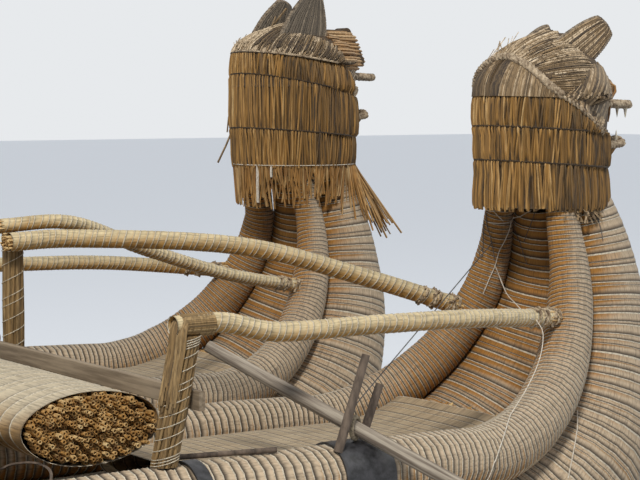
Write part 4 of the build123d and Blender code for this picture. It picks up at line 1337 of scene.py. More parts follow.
class REEDBOAT_OT_heads(bpy.types.Operator):
    """Upright reeds of the bands, and the raked reeds and rope seams over the backs of the heads"""

    bl_idname = "reedboat.heads"
    bl_label = "Head Reeds"

    def band(self, head, index, rng, width):
        """Upright reeds round one band, whose edges dip towards the face."""
        low_z, low_r, high_z, high_r = head["bands"][index]
        low_tilt, high_tilt = head["tilts"][index], head["tilts"][index + 1]
        cheek = [(-abs(bearing_of(p)), p[2]) for p in head["cheek"]]
        count = int(2 * pi * low_r / width * 1.1)
        paths, widths, tones = [], [], []
        for layer in (0, 1):
            patch = [rng.uniform(-0.14, 0.14) for _ in range(14)]
            for number in range(count):
                turn = 2 * pi * (number + rng.uniform(-0.32, 0.32) + 0.5 * layer) / count
                foot = low_z - low_tilt * cos(turn)
                stop = high_z - high_tilt * cos(turn)
                if index == 2 or (index == 1 and head["y"] > 0):
                    back = -abs(atan2(sin(turn), cos(turn)))
                    if back > cheek[0][0]:
                        stop = min(stop, float(np.interp(back, *zip(*cheek))))
                    if back > cheek[-1][0] and index == 2:
                        continue
                if stop < foot + 0.012:
                    continue
                foot -= rng.uniform(-0.004, 0.014) if index == 0 else rng.uniform(-0.001, 0.003)
                proud = 0.0042 - 0.0050 * layer + rng.uniform(-0.0015, 0.0020)
                lean = rng.uniform(-0.016, 0.016) / low_r
                path = []
                for share in (0, 0.08, 0.3, 0.7, 0.92, 1):
                    z = foot + (stop - foot) * share
                    radius = widest_radius(head, z, 0.010)
                    radius += proud + 0.004 * sin(pi * share) - 0.003 * (abs(share - 0.5) * 2) ** 8
                    bearing = turn + lean * (share - 0.5)
                    x, y = HEAD_X + radius * cos(bearing), head["y"] + radius * sin(bearing)
                    path.append((x, y, z, 1.0 - 0.22 * share**6))
                paths.append(path)
                widths.append(width / 2 * rng.uniform(0.62, 1.0))
                # Painted shade: the inner layer, under the outer one, is given darker tones.
                middle = (0.52 if layer == 0 else 0.24) + patch[int(number / count * 14) % 14]
                tones.append(tone_near(rng, middle, 0.17))
        return paths, widths, tones

    def crown(self, head, rng, width):
        """Upright reeds below the seam and raked reeds from the seam to the brow, on both sides."""
        axis, base = head_axis(head), bands_top(head)
        seam, brow = head["seam"], head["brow"]
        paths, widths, tones = [], [], []

        def lay(places, side, middle, taper=0.25, wide=1.0):
            path = []
            for index, place in enumerate(places):
                spot = axis + Vector((place.x, -place.y * side, place.z))
                path.append((*spot, 1.0 - taper * index / len(places)))
            paths.append(path)
            widths.append(wide * width / 2 * rng.uniform(0.62, 1.05))
            tones.append(tone_near(rng, middle))

        def nape(side):
            """Upright reeds between the bands and the seam."""
            turns = [-abs(bearing_of(p)) for p in seam]
            heights = [p[2] for p in seam]
            for number in range(NAPE_REEDS):
                layer = number % 2
                turn = -pi + (turns[-1] + pi) * (number + rng.random()) / NAPE_REEDS
                start = base - head["tilts"][3] * cos(turn) - 0.002
                stop = float(np.interp(turn, turns, heights)) + 0.004
                places = []
                for share in (0, 0.25, 0.5, 0.75, 1.0):
                    z = start + (stop - start) * share
                    bearing = turn + 0.06 * share
                    spot = (0.4 * cos(bearing), 0.4 * sin(bearing), z)
                    places.append(on_head(head, spot, 0.0070 - 0.004 * layer))
                # Painted shade: the lower layer, under the upper one, is given a near-black tone.
                lay(places, side, (0.46, 0.06)[layer], wide=(0.9, 1.0)[layer])

        def rake(side):
            """Three layers of reeds from the seam to the brow; the upper ones are shorter and paler as
            painted light, the lowest near-black as painted shade.
            """
            for number in range(3 * CROWN_REEDS):
                layer = number // CROWN_REEDS
                share = (number % CROWN_REEDS + rng.random()) / CROWN_REEDS
                start = along(seam, share)
                stop = along(brow, min(1, max(0, share + rng.uniform(-0.015, 0.015))))
                proud = head["lift"] * (0.1, 0.75, 1.2)[layer] + rng.uniform(-0.0015, 0.003)
                first, last = rng.uniform(-0.01, 0.03), 1.0 + rng.uniform(-0.05, 0.03)
                if layer == 2:
                    first, last = rng.uniform(0.0, 0.35), rng.uniform(0.55, 1.04)
                places = []
                for step in range(7):
                    t = first + (last - first) * step / 6
                    arch = 0.6 * head["lift"] * sin(pi * min(1.0, max(0.0, t)))
                    places.append(on_head(head, start.lerp(stop, t), proud + arch, True))
                lay(places, side, (0.02, 0.40, 0.80)[layer], wide=(1.0, 0.80, 0.70)[layer])

        for side in (-1, 1):
            if head["y"] < 0:
                nape(side)
            rake(side)
        for _ in range(9):
            start = along(seam, rng.uniform(0.0, 0.5))
            stop = start.lerp(along(brow, rng.uniform(0.0, 0.4)), rng.uniform(0.3, 0.6))
            spots = ((start, 0.012), (start.lerp(stop, 0.5), 0.018), (stop, 0.045))
            lay([on_head(head, spot, proud, True) for spot, proud in spots], 1, 0.9, wide=0.45)
        return paths, widths, tones

    def crown_seam(self, head_name, head):
        """Laid rope along the seam, on both sides."""
        knots = []
        radius, turn = (0.0165, 0.055) if head_name == "starboard" else (0.0050, 0.030)
        for side in (-1, 1):
            line = [on_head(head, along(head["seam"], k / 16), head["lift"] + 0.003, True) for k in range(17)]
            line = on_side(head, line, side)
            knots.append(rope(f"{head_name}_seam_{side}", line, radius, "seam rope", turn, 3))
        finish_piece(join(knots, f"{head_name}_crown_seam"))

    def band_strings_and_groove_shade(self, head_name, head):
        """Dark strings in the grooves between the bands, thick and near-black: partly real string, partly
        painted shade in the grooves; the upper ones stop at the face.
        """
        axis, lines = head_axis(head), []
        for index in range(1, 4):
            z0, tilt = head["bands"][index - 1][2], head["tilts"][index]
            if index == 3 and head_name == "starboard":
                continue
            ring = []
            for step in range(61):
                turn = 2 * pi * step / 60
                z = z0 - tilt * cos(turn)
                if cos(turn) > 0.1 and index > 1:
                    if len(ring) > 4:
                        lines.append(ring)
                    ring = []
                    continue
                radius = widest_radius(head, z, 0.012) + 0.0042
                ring.append(axis + Vector((radius * cos(turn), radius * sin(turn), z)))
            if len(ring) > 4:
                lines.append(ring)
        strings = reeds(f"{head_name}_band_strings_and_groove_shade", lines, 0.0040, "groove string and shade", [0.5] * len(lines))
        finish_piece(strings)

    def execute(self, context):
        size = sizes()
        for head_name, head in HEADS.items():
            head["surface"] = cad_surface(*(f"{head_name}_head_{part}" for part in (*HEAD_PARTS, "face")))
            rng = random.Random(size.seed + len(head_name))
            for index, band in enumerate(("skirt", "jowl", "brow")):
                paths, widths, tones = self.band(head, index, rng, size.reed_width)
                # The band reeds darken towards their tops: painted shade under the band above.
                piece = reeds(f"{head_name}_{band}_reeds", paths, widths, "head reeds", tones, shade_fade=0.34)
                finish_piece(piece)
            paths, widths, tones = self.crown(head, rng, size.reed_width)
            piece = reeds(f"{head_name}_crown_reeds", paths, widths, "crown reeds", tones)
            finish_piece(piece)
            self.crown_seam(head_name, head)
            self.band_strings_and_groove_shade(head_name, head)
            for part in HEAD_PARTS:
                refinish(f"{head_name}_head_{part}", "core in painted shade")
        return {"FINISHED"}


class REEDBOAT_OT_faces(bpy.types.Operator):
    """Ears, forehead, cheeks and jaws of the heads"""

    bl_idname = "reedboat.faces"
    bl_label = "Faces, Ears and Jaws"

    def ear(self, name, head, ear, rng):
        """Both faces of one ear, its roped rim and its stitches."""
        side, top, low, tip = ear
        axis = head_axis(head)
        top, low, tip = (Vector((x, y * side, z)) for x, y, z in (top, low, tip))
        root = (top + low) / 2
        up = (tip - root).normalized()
        tall = (tip - root).length
        wide = (low - top).length
        across = (low - top - up * (low - top).dot(up)).normalized()
        out = across.cross(up).normalized()
        heights = (-0.03, tall / 2, tall * 0.93, tall)
        spans = (wide * 1.02, (wide + EAR_TIP_WIDTH) * 0.56, EAR_TIP_WIDTH * 1.12, EAR_TIP_WIDTH * 0.8)
        thicks = (EAR_THICK, EAR_THICK * 0.8, EAR_THICK * 0.55, EAR_THICK * 0.4)
        paths, widths, tones = [], [], []
        for face in (-1, 1):
            for number in range(EAR_REEDS):
                layer = number % 2
                u = -0.97 + 1.94 * (number + rng.uniform(0.1, 0.9)) / EAR_REEDS
                bulge = sqrt(1 - u * u)
                path = []
                for height, span, thick in zip(heights, spans, thicks):
                    proud = thick / 2 * bulge + (0.0035, 0.0)[layer]
                    place = root + up * height + across * (u * span / 2) + out * face * proud
                    path.append((*(axis + place), 1.0))
                paths.append(path)
                widths.append(rng.uniform(0.0035, 0.0055) * (wide / 0.16) ** 0.5)
                # Painted shade: the inner layer, under the outer one, is given darker tones.
                tones.append(tone_near(rng, head["ear_tone"] * (1.15, 0.15)[layer], 0.14))
        finish = "crown reeds" if head["ear_tone"] > 0.4 else "shaded ear reeds"
        blades = reeds(f"{name}_reeds", paths, widths, finish, tones)
        rim = []
        for edge in (-1, 1):
            rim.append([root + up * h + across * (edge * w / 2) for h, w in zip(heights, spans)])
        outline = [axis + p for p in arc_points([*rim[0], tip + up * 0.006, *reversed(rim[1])], 4)]
        band = rope(f"{name}_rim", outline, 0.0095, "ear rope", 0.034, 3)
        stitches = []
        for share in (0.0, 0.56):
            h = tall * share + 0.004
            span = float(np.interp(h, heights, spans))
            thick = float(np.interp(h, heights, thicks)) + 0.008
            ring = []
            for step in range(17):
                a = 2 * pi * step / 16
                ring.append(axis + root + up * h + across * (span / 2 * cos(a)) + out * (thick / 2 * sin(a)))
            stitches.append(ring)
        lines = reeds(f"{name}_stitches", stitches, 0.0028, "dark line", [0.5] * 2)
        finish_piece(blades)
        finish_piece(band)
        finish_piece(lines)

    def port_snout(self, head, lay, rng):
        """Courses of three strands round the forehead."""
        for row in range(SNOUT_ROWS):
            rise = (head["forehead_z"] + 0.004 - head["nose_z"]) * row / (SNOUT_ROWS - 1)
            z = head["nose_z"] - 0.02 + rise
            reach = radians(100 - 30 * row / SNOUT_ROWS)
            for strand in range(3):
                middle = strand == 1
                lift = 0.0075 * (strand - 1) + rng.uniform(-0.001, 0.001)
                spread = reach * rng.uniform(0.85, 1.0)
                tilt = rng.uniform(-0.006, 0.006)
                places = []
                for step in range(15):
                    share = step / 14 * 2 - 1
                    turn = share * spread
                    spot = Vector((0.3 * cos(turn), 0.22 * sin(turn), z + lift + tilt * share))
                    places.append(on_head(head, spot, 0.003 + 0.010 * middle))
                # Painted light: the raised middle strand is paler, the lower strands beside it darker as
                # shade.
                lay(places, 0.0074 if middle else 0.0050, 0.60 if middle else 0.30, row < 4)

    def starboard_snout(self, head, lay, rng):
        """Reeds that run down the forehead and nose."""
        high_z = head["forehead_z"]
        for number in range(SNOUT_REEDS):
            layer = number % 2
            turn = radians(-27 + 54 * (number + rng.random()) / SNOUT_REEDS)
            stop = head["nose_z"] - 0.035 if abs(turn) < radians(24) else head["chin_z"] + 0.03
            places = []
            for step in range(8):
                z = high_z + 0.004 + (stop - high_z - 0.004) * step / 7
                places.append(on_head(head, (0.3 * cos(turn), 0.22 * sin(turn), z), 0.006 - 0.004 * layer))
            # Painted shade: the lower layer is given darker tones.
            lay(places, 0.0055, 0.55 - 0.3 * layer)

    def cheeks(self, head, lay, rng):
        """Three layers of reeds from the cheek line up to the temple, on both sides: the long lower layers
        dark as painted shade under the temple, the short top layer pale as painted light.
        """
        for side in (-1, 1):
            for number in range(CHEEK_REEDS):
                layer = number % 3
                share = (number + rng.random()) / CHEEK_REEDS
                start, stop = along(head["cheek"], share), along(head["temple"], share**0.85)
                reach = (1.0, 0.96, rng.uniform(0.22, 0.40))[layer] * rng.uniform(0.9, 1.02)
                places = []
                for step in range(7):
                    spot = start.lerp(stop, reach * step / 6)
                    spot = on_head(head, spot, (0.002, 0.006, 0.010)[layer])
                    places.append(Vector((spot.x, -side * spot.y, spot.z)))
                lay(places, 0.0054, (0.02, 0.10, 0.62)[layer])

    def cheek_ropes(self, head_name, head):
        """Laid rope along the lower edge of each cheek."""
        ropes = []
        for side in (-1, 1):
            line = [on_head(head, along(head["cheek"], step / 12), 0.007) for step in range(13)]
            line = on_side(head, line, side)
            ropes.append(rope(f"{head_name}_cheek_{side}", line, 0.0095, "seam rope", 0.04, 2))
        finish_piece(join(ropes, f"{head_name}_cheek_ropes"))

    def face(self, head_name, head, rng):
        """Reeds of the forehead, snout and cheeks, with a rope along each cheek."""
        axis = head_axis(head)
        eyes = [Vector((0.200, side * 0.128, head["eye"])) for side in (-1, 1)]

        def layer_of(group):
            """Returns a way to add reeds to a group; clear keeps them off the eyes."""

            def lay(places, width, middle, clear=True):
                if clear:
                    places = [p for p in places if all((p - eye).length > 0.050 for eye in eyes)]
                if len(places) < 2:
                    return
                group[0].append([(*(axis + p), 1.0) for p in places])
                group[1].append(width * rng.uniform(0.75, 1.1))
                group[2].append(tone_near(rng, middle))

            return lay

        snout, cheeks = ([], [], []), ([], [], [])
        cover_snout = self.port_snout if head_name == "port" else self.starboard_snout
        cover_snout(head, layer_of(snout), rng)
        self.cheeks(head, layer_of(cheeks), rng)
        front = reeds(f"{head_name}_face_reeds", *snout[:2], "snout reeds", snout[2])
        finish_piece(front)
        sides = reeds(f"{head_name}_cheek_reeds", *cheeks[:2], "crown reeds", cheeks[2])
        finish_piece(sides)
        self.cheek_ropes(head_name, head)

    def chin(self, head_name, head, z, reach, rng):
        """Reeds from the lower jaw down to the throat."""
        axis = head_axis(head)
        paths, widths, tones = [], [], []
        for side in (-1, 1):
            for number in range(CHIN_REEDS):
                share = (number + rng.random()) / CHIN_REEDS
                start = Vector((0.20 + (reach - 0.235) * share, side * (0.100 - 0.062 * share), z - 0.008))
                low_y, low_z = side * (0.085 - 0.055 * share), z - 0.125 + 0.05 * share
                stop = Vector((0.215 + 0.07 * share, low_y, low_z))
                middle = start.lerp(stop, 0.5) + Vector((0.008, side * 0.004, 0))
                paths.append([(*(axis + p), 1.0) for p in (start, middle, stop)])
                widths.append(rng.uniform(0.004, 0.0065))
                tones.append(tone_near(rng, 0.42))
        piece = reeds(f"{head_name}_chin_reeds", paths, widths, "head reeds", tones)
        finish_piece(piece)

    def jaw(self, head_name, head, lower, rng):
        """A jaw edged with twisted reed ropes; reeds run from the lower one down to the chin."""
        axis = head_axis(head)
        z, reach = head["jaws"][1 if lower else 0]
        lift = 0.018 if lower else -0.006
        rows = (
            (0.215, 0.100, 0.0), (0.300, 0.086, 0.0), (0.370, 0.066, lift * 0.3),
            (reach - 0.030, 0.048, lift * 0.8), (reach - 0.012, 0.018, lift),
        )
        edge = [Vector((x, -y, z + up)) for x, y, up in rows]
        edge += [Vector((x, y, z + up)) for x, y, up in reversed(rows)]
        line = arc_points([axis + p for p in edge], 5)
        outer = rope(f"{head_name}_jaw_{lower}", line, 0.0165, "seam rope", 0.06, 3)
        line = arc_points([axis + Vector((p.x * 0.93, p.y * 0.55, p.z)) for p in edge], 4)
        inner = rope(f"{head_name}_jaw_{lower}_inner", line, 0.013, "seam rope", 0.05, 3)
        piece = join([outer, inner], f"{head_name}_{'lower' if lower else 'upper'}_jaw_rope")
        finish_piece(piece)
        if lower:
            self.chin(head_name, head, z, reach, rng)

    def execute(self, context):
        for head_name, head in HEADS.items():
            rng = random.Random(sizes().seed + 20 + len(head_name))
            for number, ear in enumerate(head["ears"]):
                self.ear(f"{head_name}_ear_{number}", head, ear, rng)
            self.face(head_name, head, rng)
            self.jaw(head_name, head, False, rng)
            self.jaw(head_name, head, True, rng)
        return {"FINISHED"}

STRAY_STALKS = (
    ((3.795, 1.018, 1.585), (3.762, 1.040, 1.490), (3.731, 1.064, 1.408)),
    ((3.795, 1.015, 1.690), (3.770, 1.030, 1.620), (3.765, 1.035, 1.550)),
    ((3.915, 0.935, 2.000), (3.955, 0.905, 2.065), (3.994, 0.878, 2.125)),
    ((3.900, 0.900, 2.005), (3.925, 0.890, 2.050), (3.950, 0.905, 2.085)),
)
STRAY_TONES = (0.3, 0.3, 0.95, 0.9)
# The loose ends of the string round the fringe, and the radii of the ring and of those ends.
TIE_ENDS = (
    ((3.757, 0.764, 1.405), (3.752, 0.758, 1.320), (3.757, 0.762, 1.235)),
    ((3.789, 0.701, 1.405), (3.786, 0.697, 1.380), (3.788, 0.699, 1.352)),
)
TIE_RADII = (0.0018, 0.0062, 0.0050)


class REEDBOAT_OT_fringe(bpy.types.Operator):
    """Loose reed ends that hang and flare under the heads"""

    bl_idname = "reedboat.fringe"
    bl_label = "Neck Fringe"

    def hanging(self, rng):
        """The fringe under the port head; it flares and hangs longest in front."""
        paths, widths = [], []
        low, high = (Vector(v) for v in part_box("port_head_fringe"))
        for number in range(FRINGE_REEDS):
            layer = number % 3
            turn = 2 * pi * (number + rng.uniform(-0.5, 0.5)) / FRINGE_REEDS
            front = min(1.0, max(0.0, (cos(turn) - 0.35) / 0.5))
            flare = radians(-5.0 + 41.0 * front) * rng.uniform(0.7, 1.05)
            drop = (0.20 + 0.215 * front) * rng.uniform(0.66, 1.02)
            if rng.random() < 0.2:
                drop *= rng.uniform(0.4, 0.7)
            out = round_place(turn)
            root = Vector((HEAD_X, HULL_Y, high.z + 0.004)) + out * (0.272 + 0.004 * layer)
            down = out * sin(flare) - Vector((0, 0, cos(flare)))
            side = Vector((-sin(turn), cos(turn), 0)) * rng.uniform(-0.035, 0.035)
            path = []
            for share in (0, 0.3, 0.7, 1):
                place = root + down * drop * share + side * share**1.3
                path.append((*place, 1.0 - 0.25 * share))
            paths.append(path)
            widths.append(rng.uniform(0.0038, 0.0068))
        piece = reeds("port_head_fringe_reeds", paths, widths, "fringe reeds")
        finish_piece(piece, ("port_head_fringe",))

    def loose_stalks(self, rng):
        """Four long stalks that stick out of the port head, and short ones under the starboard one."""
        loose = list(STRAY_STALKS)
        for _ in range(FRAYED_REEDS):
            turn = radians(rng.uniform(-112, -20))
            out = round_place(turn)
            root = Vector((HEAD_X, -HULL_Y, 1.300)) + out * rng.uniform(0.225, 0.250)
            drop = rng.uniform(0.03, 0.10) * (0.5 + 0.5 * sin(radians(90) * (degrees(turn) + 112) / 92))
            sway = Vector((-sin(turn), cos(turn), 0)) * rng.uniform(-0.03, 0.03)
            middle = root - Vector((0, 0, drop * 0.5)) + out * 0.006
            loose.append((root, middle, root - Vector((0, 0, drop)) + out * 0.02 + sway))
        widths = [rng.uniform(0.003, 0.005) for _ in loose]
        tones = [*STRAY_TONES, *(tone_near(rng, 0.42) for _ in range(FRAYED_REEDS))]
        finish_piece(reeds("loose_stalks", loose, widths, "crown reeds", tones))

    def execute(self, context):
        rng = random.Random(sizes().seed + 5)
        self.hanging(rng)
        self.loose_stalks(rng)
        bearings = np.linspace(0, 2 * pi, 49)
        ring = [(HEAD_X + 0.287 * cos(a), HULL_Y + 0.287 * sin(a), 1.405) for a in bearings]
        ties = reeds("fringe_ties", [ring, *TIE_ENDS], TIE_RADII, "white twine", [0.5] * 3)
        finish_piece(ties)
        return {"FINISHED"}


# Fittings, oars


class REEDBOAT_OT_fittings(bpy.types.Operator):
    """Thole pins, straps, bar, teeth and oars"""

    bl_idname = "reedboat.fittings"
    bl_label = "Fittings and Oars"

    def execute(self, context):
        finishes = {
            "back_bar": "bar wood",
            "lashing_stick": "branch",
            "starboard_head_teeth": "tooth reed",
            "starboard_stay": "dark line",
        }
        for side in ("starboard", "port"):
            finishes[f"{side}_oar_loom"] = f"oar wood {side}"
            finishes[f"{side}_oar_blade"] = f"oar wood {side}"
            finishes[f"{side}_thole_pins"] = "branch"
            finishes[f"{side}_rubber_wraps"] = "rubber"
            finishes[f"{side}_oar_grommet"] = "grommet rope"
            finishes[f"{side}_floor_pad"] = "core in painted shade"
            for part in ("face", "upper_jaw", "lower_jaw"):
                finishes[f"{side}_head_{part}"] = "core in painted shade"
            finishes[f"{side}_head_ears"] = "ear core"
        for node, finish in finishes.items():
            refinish(node, finish)
        return {"FINISHED"}


# Strings and lashings


# Strings on the near neck and bow, by their places in the photograph, in pixels.
PALE_STRING_PIXELS = (
    ((510.35, 221.51), (509.01, 228.21), (504.33, 240.27), (498.97, 250.98), (494.95, 265.71),
     (488.93, 279.10), (482.90, 293.83)),
    ((487.59, 210.13), (494.28, 211.47), (500.98, 218.84), (502.99, 220.85)),
    ((488.93, 222.19), (499.64, 223.52), (510.35, 221.51), (522.41, 215.49), (531.78, 210.13)),
    ((511.01, 414.13), (505.21, 430.71), (499.40, 447.30), (492.77, 463.88), (486.14, 479.97)),
    ((577.35, 410.81), (577.35, 427.40), (574.86, 442.32), (572.37, 455.59), (567.40, 478.81)),
)
DARK_STRING_PIXELS = (
    ((486.92, 211.07), (487.85, 225.53), (490.94, 236.25), (493.61, 249.64), (494.28, 260.35)),
    ((515.71, 229.55), (521.07, 242.94), (524.42, 255.00), (527.76, 264.37)),
    ((535.13, 212.14), (531.78, 222.86), (524.42, 242.27)),
    ((596.06, 213.48), (600.75, 229.55), (602.76, 241.60)),
    ((610.80, 303.21), (611.47, 328.65)),
)
# Strings that run free from the neck over the outer rail and down to the gunwale bundle, in metres.
FREE_STRINGS = (
    ((3.930, -0.692, 1.046), (3.945, -0.720, 0.975), (3.850, -0.860, 0.950), (3.700, -1.080, 0.945),
     (3.602, -1.267, 0.918), (3.641, -1.256, 0.906)),
    ((3.641, -1.262, 0.906), (3.640, -1.300, 0.860), (3.600, -1.330, 0.780), (3.540, -1.340, 0.690),
     (3.449, -1.347, 0.590)),
)
# A knot of dark string on the near neck: where it starts, its loop's middle and where it ends.
KNOT_START = ((3.911, -0.645, 1.224), (3.900, -0.655, 1.161))
KNOT_MIDDLE = (3.892, -0.650, 1.100)
KNOT_END = (3.893, -0.652, 1.076)
# A bent branch over each outer gunwale bundle, for the near side.
HOOP = (
    (1.605, -1.061, 0.560), (1.640, -1.080, 0.575), (1.668, -1.160, 0.590), (1.668, -1.250, 0.592),
    (1.640, -1.340, 0.588), (1.603, -1.400, 0.560),
)
# The rails' lashings: distance from the rail's end, turns and width.
LASHINGS = ((0.070, 4, 0.044), (0.150, 3, 0.026), (0.205, 2, 0.018))
CORNER_REEDS = 110
POST_RAKE = 0.216
# The two layers of corner reeds, by their distance from the rail's middle.
CORNER_SPREADS = (0.0285, OUTER_RAIL_R)


def sight_lines():
    """Turns a place in the photograph, in pixels, into the direction in which the camera sees it."""
    turn = Euler(CAMERA_TURN).to_matrix()

    def sight(column, row):
        right = (column - PICTURE_WIDTH / 2) / FOCAL_PIXELS
        up = (PICTURE_HEIGHT / 2 - row) / FOCAL_PIXELS
        return (turn @ Vector((right, up, -1))).normalized()

    return sight


class REEDBOAT_OT_strings(bpy.types.Operator):
    """Loose strings on the near neck, the hoops amidships and the lashings of the rails"""

    bl_idname = "reedboat.strings"
    bl_label = "Strings and Lashings"

    def neck_strings(self):
        """Strings that lie on the near hull, and the two free ones."""
        hull_parts = [f"starboard_{part}" for part in ("main_inner", "main_outer")]
        hull_parts += [f"starboard_{part}" for part in ("gunwale_inner", "gunwale_outer")]
        skin = cad_surface(*hull_parts)
        seen = cad_surface(*hull_parts, "starboard_rail_outer", "starboard_head_skirt_band")
        sight = sight_lines()

        def laid(pixels):
            """Follows a string as the camera sees it, to the millimetre, then lays it on the hull."""
            corners = [seen.ray_cast(Vector(CAMERA_PLACE), sight(*pixel))[0] for pixel in pixels]
            corners = [tuple(round(value, 3) for value in corner) for corner in corners]
            line = []
            for place, _ in resample(corners, 0.02):
                spot, normal, _, _ = skin.find_nearest(place)
                line.append(spot + normal * 0.0045)
            return line

        pale = [laid(pixels) for pixels in PALE_STRING_PIXELS]
        pale += [arc_points(points, 4) for points in FREE_STRINGS]
        piece = reeds("pale_strings", pale, 0.0019, "white twine", [0.5] * len(pale))
        finish_piece(piece)
        dark = [laid(pixels) for pixels in DARK_STRING_PIXELS]
        loop = []
        for a in np.linspace(0, 5.6, 14):
            x, y, z = KNOT_MIDDLE
            loop.append(Vector((x + 0.010 * cos(a), y + 0.005 * sin(a), z + 0.020 * sin(a))))
        dark.append(arc_points([*KNOT_START, *loop, KNOT_END], 3))
        piece = reeds("dark_strings", dark, 0.0017, "dark line", [0.5] * len(dark))
        finish_piece(piece)

    def hoops(self):
        """A bent branch over the outer gunwale bundle of each hull."""
        lines = [arc_points([Vector((x, -side * y, z)) for x, y, z in HOOP], 5) for side in (-1, 1)]
        finish_piece(reeds("gunwale_hoops", lines, 0.0045, "branch", [0.5] * 2))

    def rail_knots(self):
        """Ropes wound round each rail where it meets its gunwale bundle."""
        bands = []
        for node, side, radius, route in RAIL_ROUTES:
            points = rail_line(side, route)
            total = path_length(points)
            for shift, turns, wide in LASHINGS:
                line = []
                steps = turns * 10
                for step in range(steps + 1):
                    share = 1 - (shift + wide * (step / steps - 0.5)) / total
                    spot = along(points, share)
                    way = (along(points, share + 0.01) - along(points, share - 0.01)).normalized()
                    out = way.cross(Vector((0, 0, 1))).normalized()
                    up = out.cross(way)
                    bearing = 2 * pi * turns * step / steps + 0.5 * sin(3.0 * step)
                    reach = radius + 0.004 + 0.003 * sin(1.7 * step)
                    line.append(spot + (out * cos(bearing) + up * sin(bearing)) * reach)
                bands.append(rope(f"{node}_knot_{turns}", line, 0.0065, "seam rope", 0.048, 2))
        finish_piece(join(bands, "rail_knots"))

    def corner_reed(self, start, number, rng):
        """A reed that bends from an outer rail down over its post."""
        bearing = 2 * pi * (number + rng.random()) / CORNER_REEDS
        spread = CORNER_SPREADS[number % 2]
        y, v = spread * cos(bearing), spread * sin(bearing)
        low = rng.uniform(0.05, 0.22)
        out = 0.047 + 0.13 * (v + spread)
        aft = 2.0952 - sqrt(max(0.0, out**2 - (1.25 * y) ** 2))
        path = [start + Vector((x, y, v)) for x in (0.140, 0.080, 0.036)]
        bend = path[-1]
        for step in range(1, 7):
            a = pi / 2 * step / 6
            x = bend.x - (bend.x - aft) * sin(a)
            path.append(Vector((x, bend.y + 0.25 * y * sin(a), bend.z - (bend.z - 0.955) * (1 - cos(a)))))
        foot = path[-1]
        path.append(foot + Vector((-POST_RAKE * low * 0.5, 0, -low * 0.5)))
        path.append(foot + Vector((-POST_RAKE * low, 0, -low)))
        return path

    def rail_corners(self, rng):
        bends, tones, widths = [], [], []
        x, y, z = OUTER_ROUTE[0]
        for side in (-1, 1):
            start = Vector((x, side * y, z))
            for number in range(CORNER_REEDS):
                bends.append(self.corner_reed(start, number, rng))
                tones.append(tone_near(rng, 0.5, 0.22))
                widths.append(rng.uniform(0.0036, 0.0052))
        piece = reeds("rail_corner_reeds", bends, widths, "post reeds", tones)
        finish_piece(piece)

    def execute(self, context):
        self.neck_strings()
        self.hoops()
        self.rail_knots()
        self.rail_corners(random.Random(sizes().seed + 9))
        return {"FINISHED"}


# Stage


def seen_directly(tree):
    """1 for rays that reach the camera straight or as a glossy reflection, 0 for the rest."""
    rays = tree.nodes.new("ShaderNodeLightPath")
    either = shader_node(tree, "ShaderNodeMath", {"operation": "MAXIMUM"})
    tree.links.new(rays.outputs["Is Camera Ray"], either.inputs[0])
    tree.links.new(rays.outputs["Is Glossy Ray"], either.inputs[1])
    return either.outputs[0]


# Lamps: name, place, power, width and tint; all of them point at LIT_PLACE.
LAMPS = (
    ("key", (-3.0, -7.0, 9.5), 1150.0, 2.0, (1.0, 0.95, 0.87)),
    ("fill", (-8.0, 6.0, 6.0), 150.0, 5.0, (0.88, 0.93, 1.0)),
    ("front", (11.0, -4.0, 6.0), 230.0, 5.0, (1.0, 0.97, 0.92)),
)
LIT_PLACE = (2.6, -0.3, 0.8)
SENSOR_WIDTH = 36.0


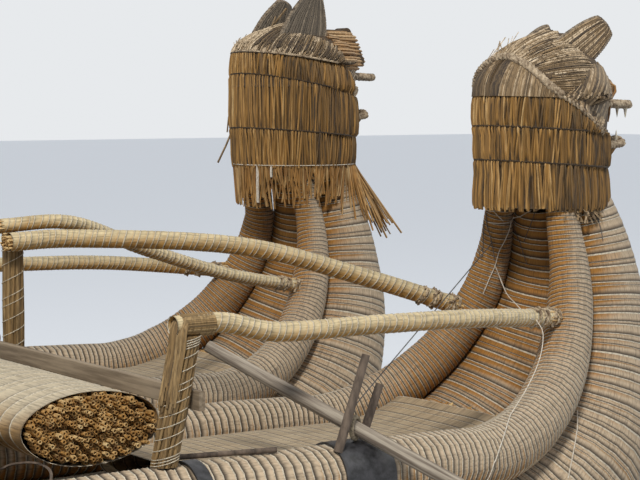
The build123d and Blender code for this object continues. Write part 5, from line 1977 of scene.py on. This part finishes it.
class REEDBOAT_OT_stage(bpy.types.Operator):
    """Floor at the waterline, backdrop, lamps and camera"""

    bl_idname = "reedboat.stage"
    bl_label = "Stage"

    def floor(self):
        """Pale floor that looks evenly lit to the camera."""
        bpy.ops.mesh.primitive_plane_add(size=120, location=(0, 0, 0))
        floor = bpy.context.active_object
        floor.name = "floor"
        made, tree, shader = new_material("pale floor")
        shader.inputs["Base Color"].default_value = (0.48, 0.50, 0.52, 1)
        shader.inputs["Roughness"].default_value = 0.9
        glow = shader_node(tree, "ShaderNodeMath", {"operation": "MULTIPLY"})
        glow.inputs[1].default_value = 0.42
        tree.links.new(seen_directly(tree), glow.inputs[0])
        tree.links.new(glow.outputs[0], shader.inputs["Emission Strength"])
        shader.inputs["Emission Color"].default_value = (0.90, 0.94, 1.0, 1)
        floor.data.materials.append(made)

    def backdrop(self, scene):
        """Soft light from all round, with a brighter backdrop for the camera."""
        world = bpy.data.worlds.new("soft studio")
        scene.world = world
        world.use_nodes = True
        tree = world.node_tree
        ground = tree.nodes["Background"]
        ground.inputs["Color"].default_value = (0.80, 0.86, 0.95, 1)
        ground.inputs["Strength"].default_value = 0.36
        seen = shader_node(tree, "ShaderNodeBackground", Color=(0.80, 0.82, 0.84, 1), Strength=1.0)
        both = shader_node(tree, "ShaderNodeMixShader")
        tree.links.new(seen_directly(tree), both.inputs[0])
        tree.links.new(ground.outputs[0], both.inputs[1])
        tree.links.new(seen.outputs[0], both.inputs[2])
        tree.links.new(both.outputs[0], tree.nodes["World Output"].inputs["Surface"])

    def lamps(self, scene):
        for name, place, power, width, tint in LAMPS:
            lamp = bpy.data.lights.new(name, "AREA")
            lamp.energy, lamp.size, lamp.color = power, width, tint
            obj = bpy.data.objects.new(name, lamp)
            obj.location = place
            obj.rotation_euler = (Vector(LIT_PLACE) - Vector(place)).to_track_quat("-Z", "Y").to_euler()
            scene.collection.objects.link(obj)

    def camera(self, scene):
        """The photograph's camera."""
        camera = bpy.data.cameras.new("camera")
        camera.sensor_width = SENSOR_WIDTH
        camera.lens = FOCAL_PIXELS / PICTURE_WIDTH * SENSOR_WIDTH
        camera.clip_end = 400
        obj = bpy.data.objects.new("camera", camera)
        obj.location = CAMERA_PLACE
        obj.rotation_euler = CAMERA_TURN
        scene.collection.objects.link(obj)
        scene.camera = obj

    def execute(self, context):
        scene = context.scene
        deselect()
        self.floor()
        self.backdrop(scene)
        self.lamps(scene)
        self.camera(scene)
        scene.view_settings.view_transform = "Standard"
        return {"FINISHED"}


class REEDBOAT_PT_panel(bpy.types.Panel):
    """Lists the operators and the sizes and colours that they use"""

    bl_idname = "REEDBOAT_PT_panel"
    bl_label = "Reed Boat"
    bl_space_type = "VIEW_3D"
    bl_region_type = "UI"
    bl_category = "Reed Boat"

    def draw(self, context):
        layout = self.layout
        for group in (context.scene.reed_boat_sizes, context.scene.reed_boat_colours):
            for key in group.bl_rna.properties.keys():
                if key not in ("rna_type", "name"):
                    layout.prop(group, key)
        for operator in OPERATORS:
            layout.operator(operator.bl_idname)


OPERATORS = (
    REEDBOAT_OT_stage,
    REEDBOAT_OT_hulls,
    REEDBOAT_OT_rails,
    REEDBOAT_OT_deck,
    REEDBOAT_OT_heads,
    REEDBOAT_OT_faces,
    REEDBOAT_OT_fringe,
    REEDBOAT_OT_strings,
    REEDBOAT_OT_fittings,
)
CLASSES = (ReedBoatSizes, ReedBoatColours, *OPERATORS, REEDBOAT_PT_panel)


def register():
    for cls in CLASSES:
        bpy.utils.register_class(cls)
    bpy.types.Scene.reed_boat_sizes = bpy.props.PointerProperty(type=ReedBoatSizes)
    bpy.types.Scene.reed_boat_colours = bpy.props.PointerProperty(type=ReedBoatColours)


def unregister():
    del bpy.types.Scene.reed_boat_sizes
    del bpy.types.Scene.reed_boat_colours
    for cls in reversed(CLASSES):
        bpy.utils.unregister_class(cls)


def main():
    register()
    for operator in OPERATORS:
        group, name = operator.bl_idname.split(".")
        getattr(getattr(bpy.ops, group), name)()
    deselect()
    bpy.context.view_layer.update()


if __name__ == "__main__":
    main()
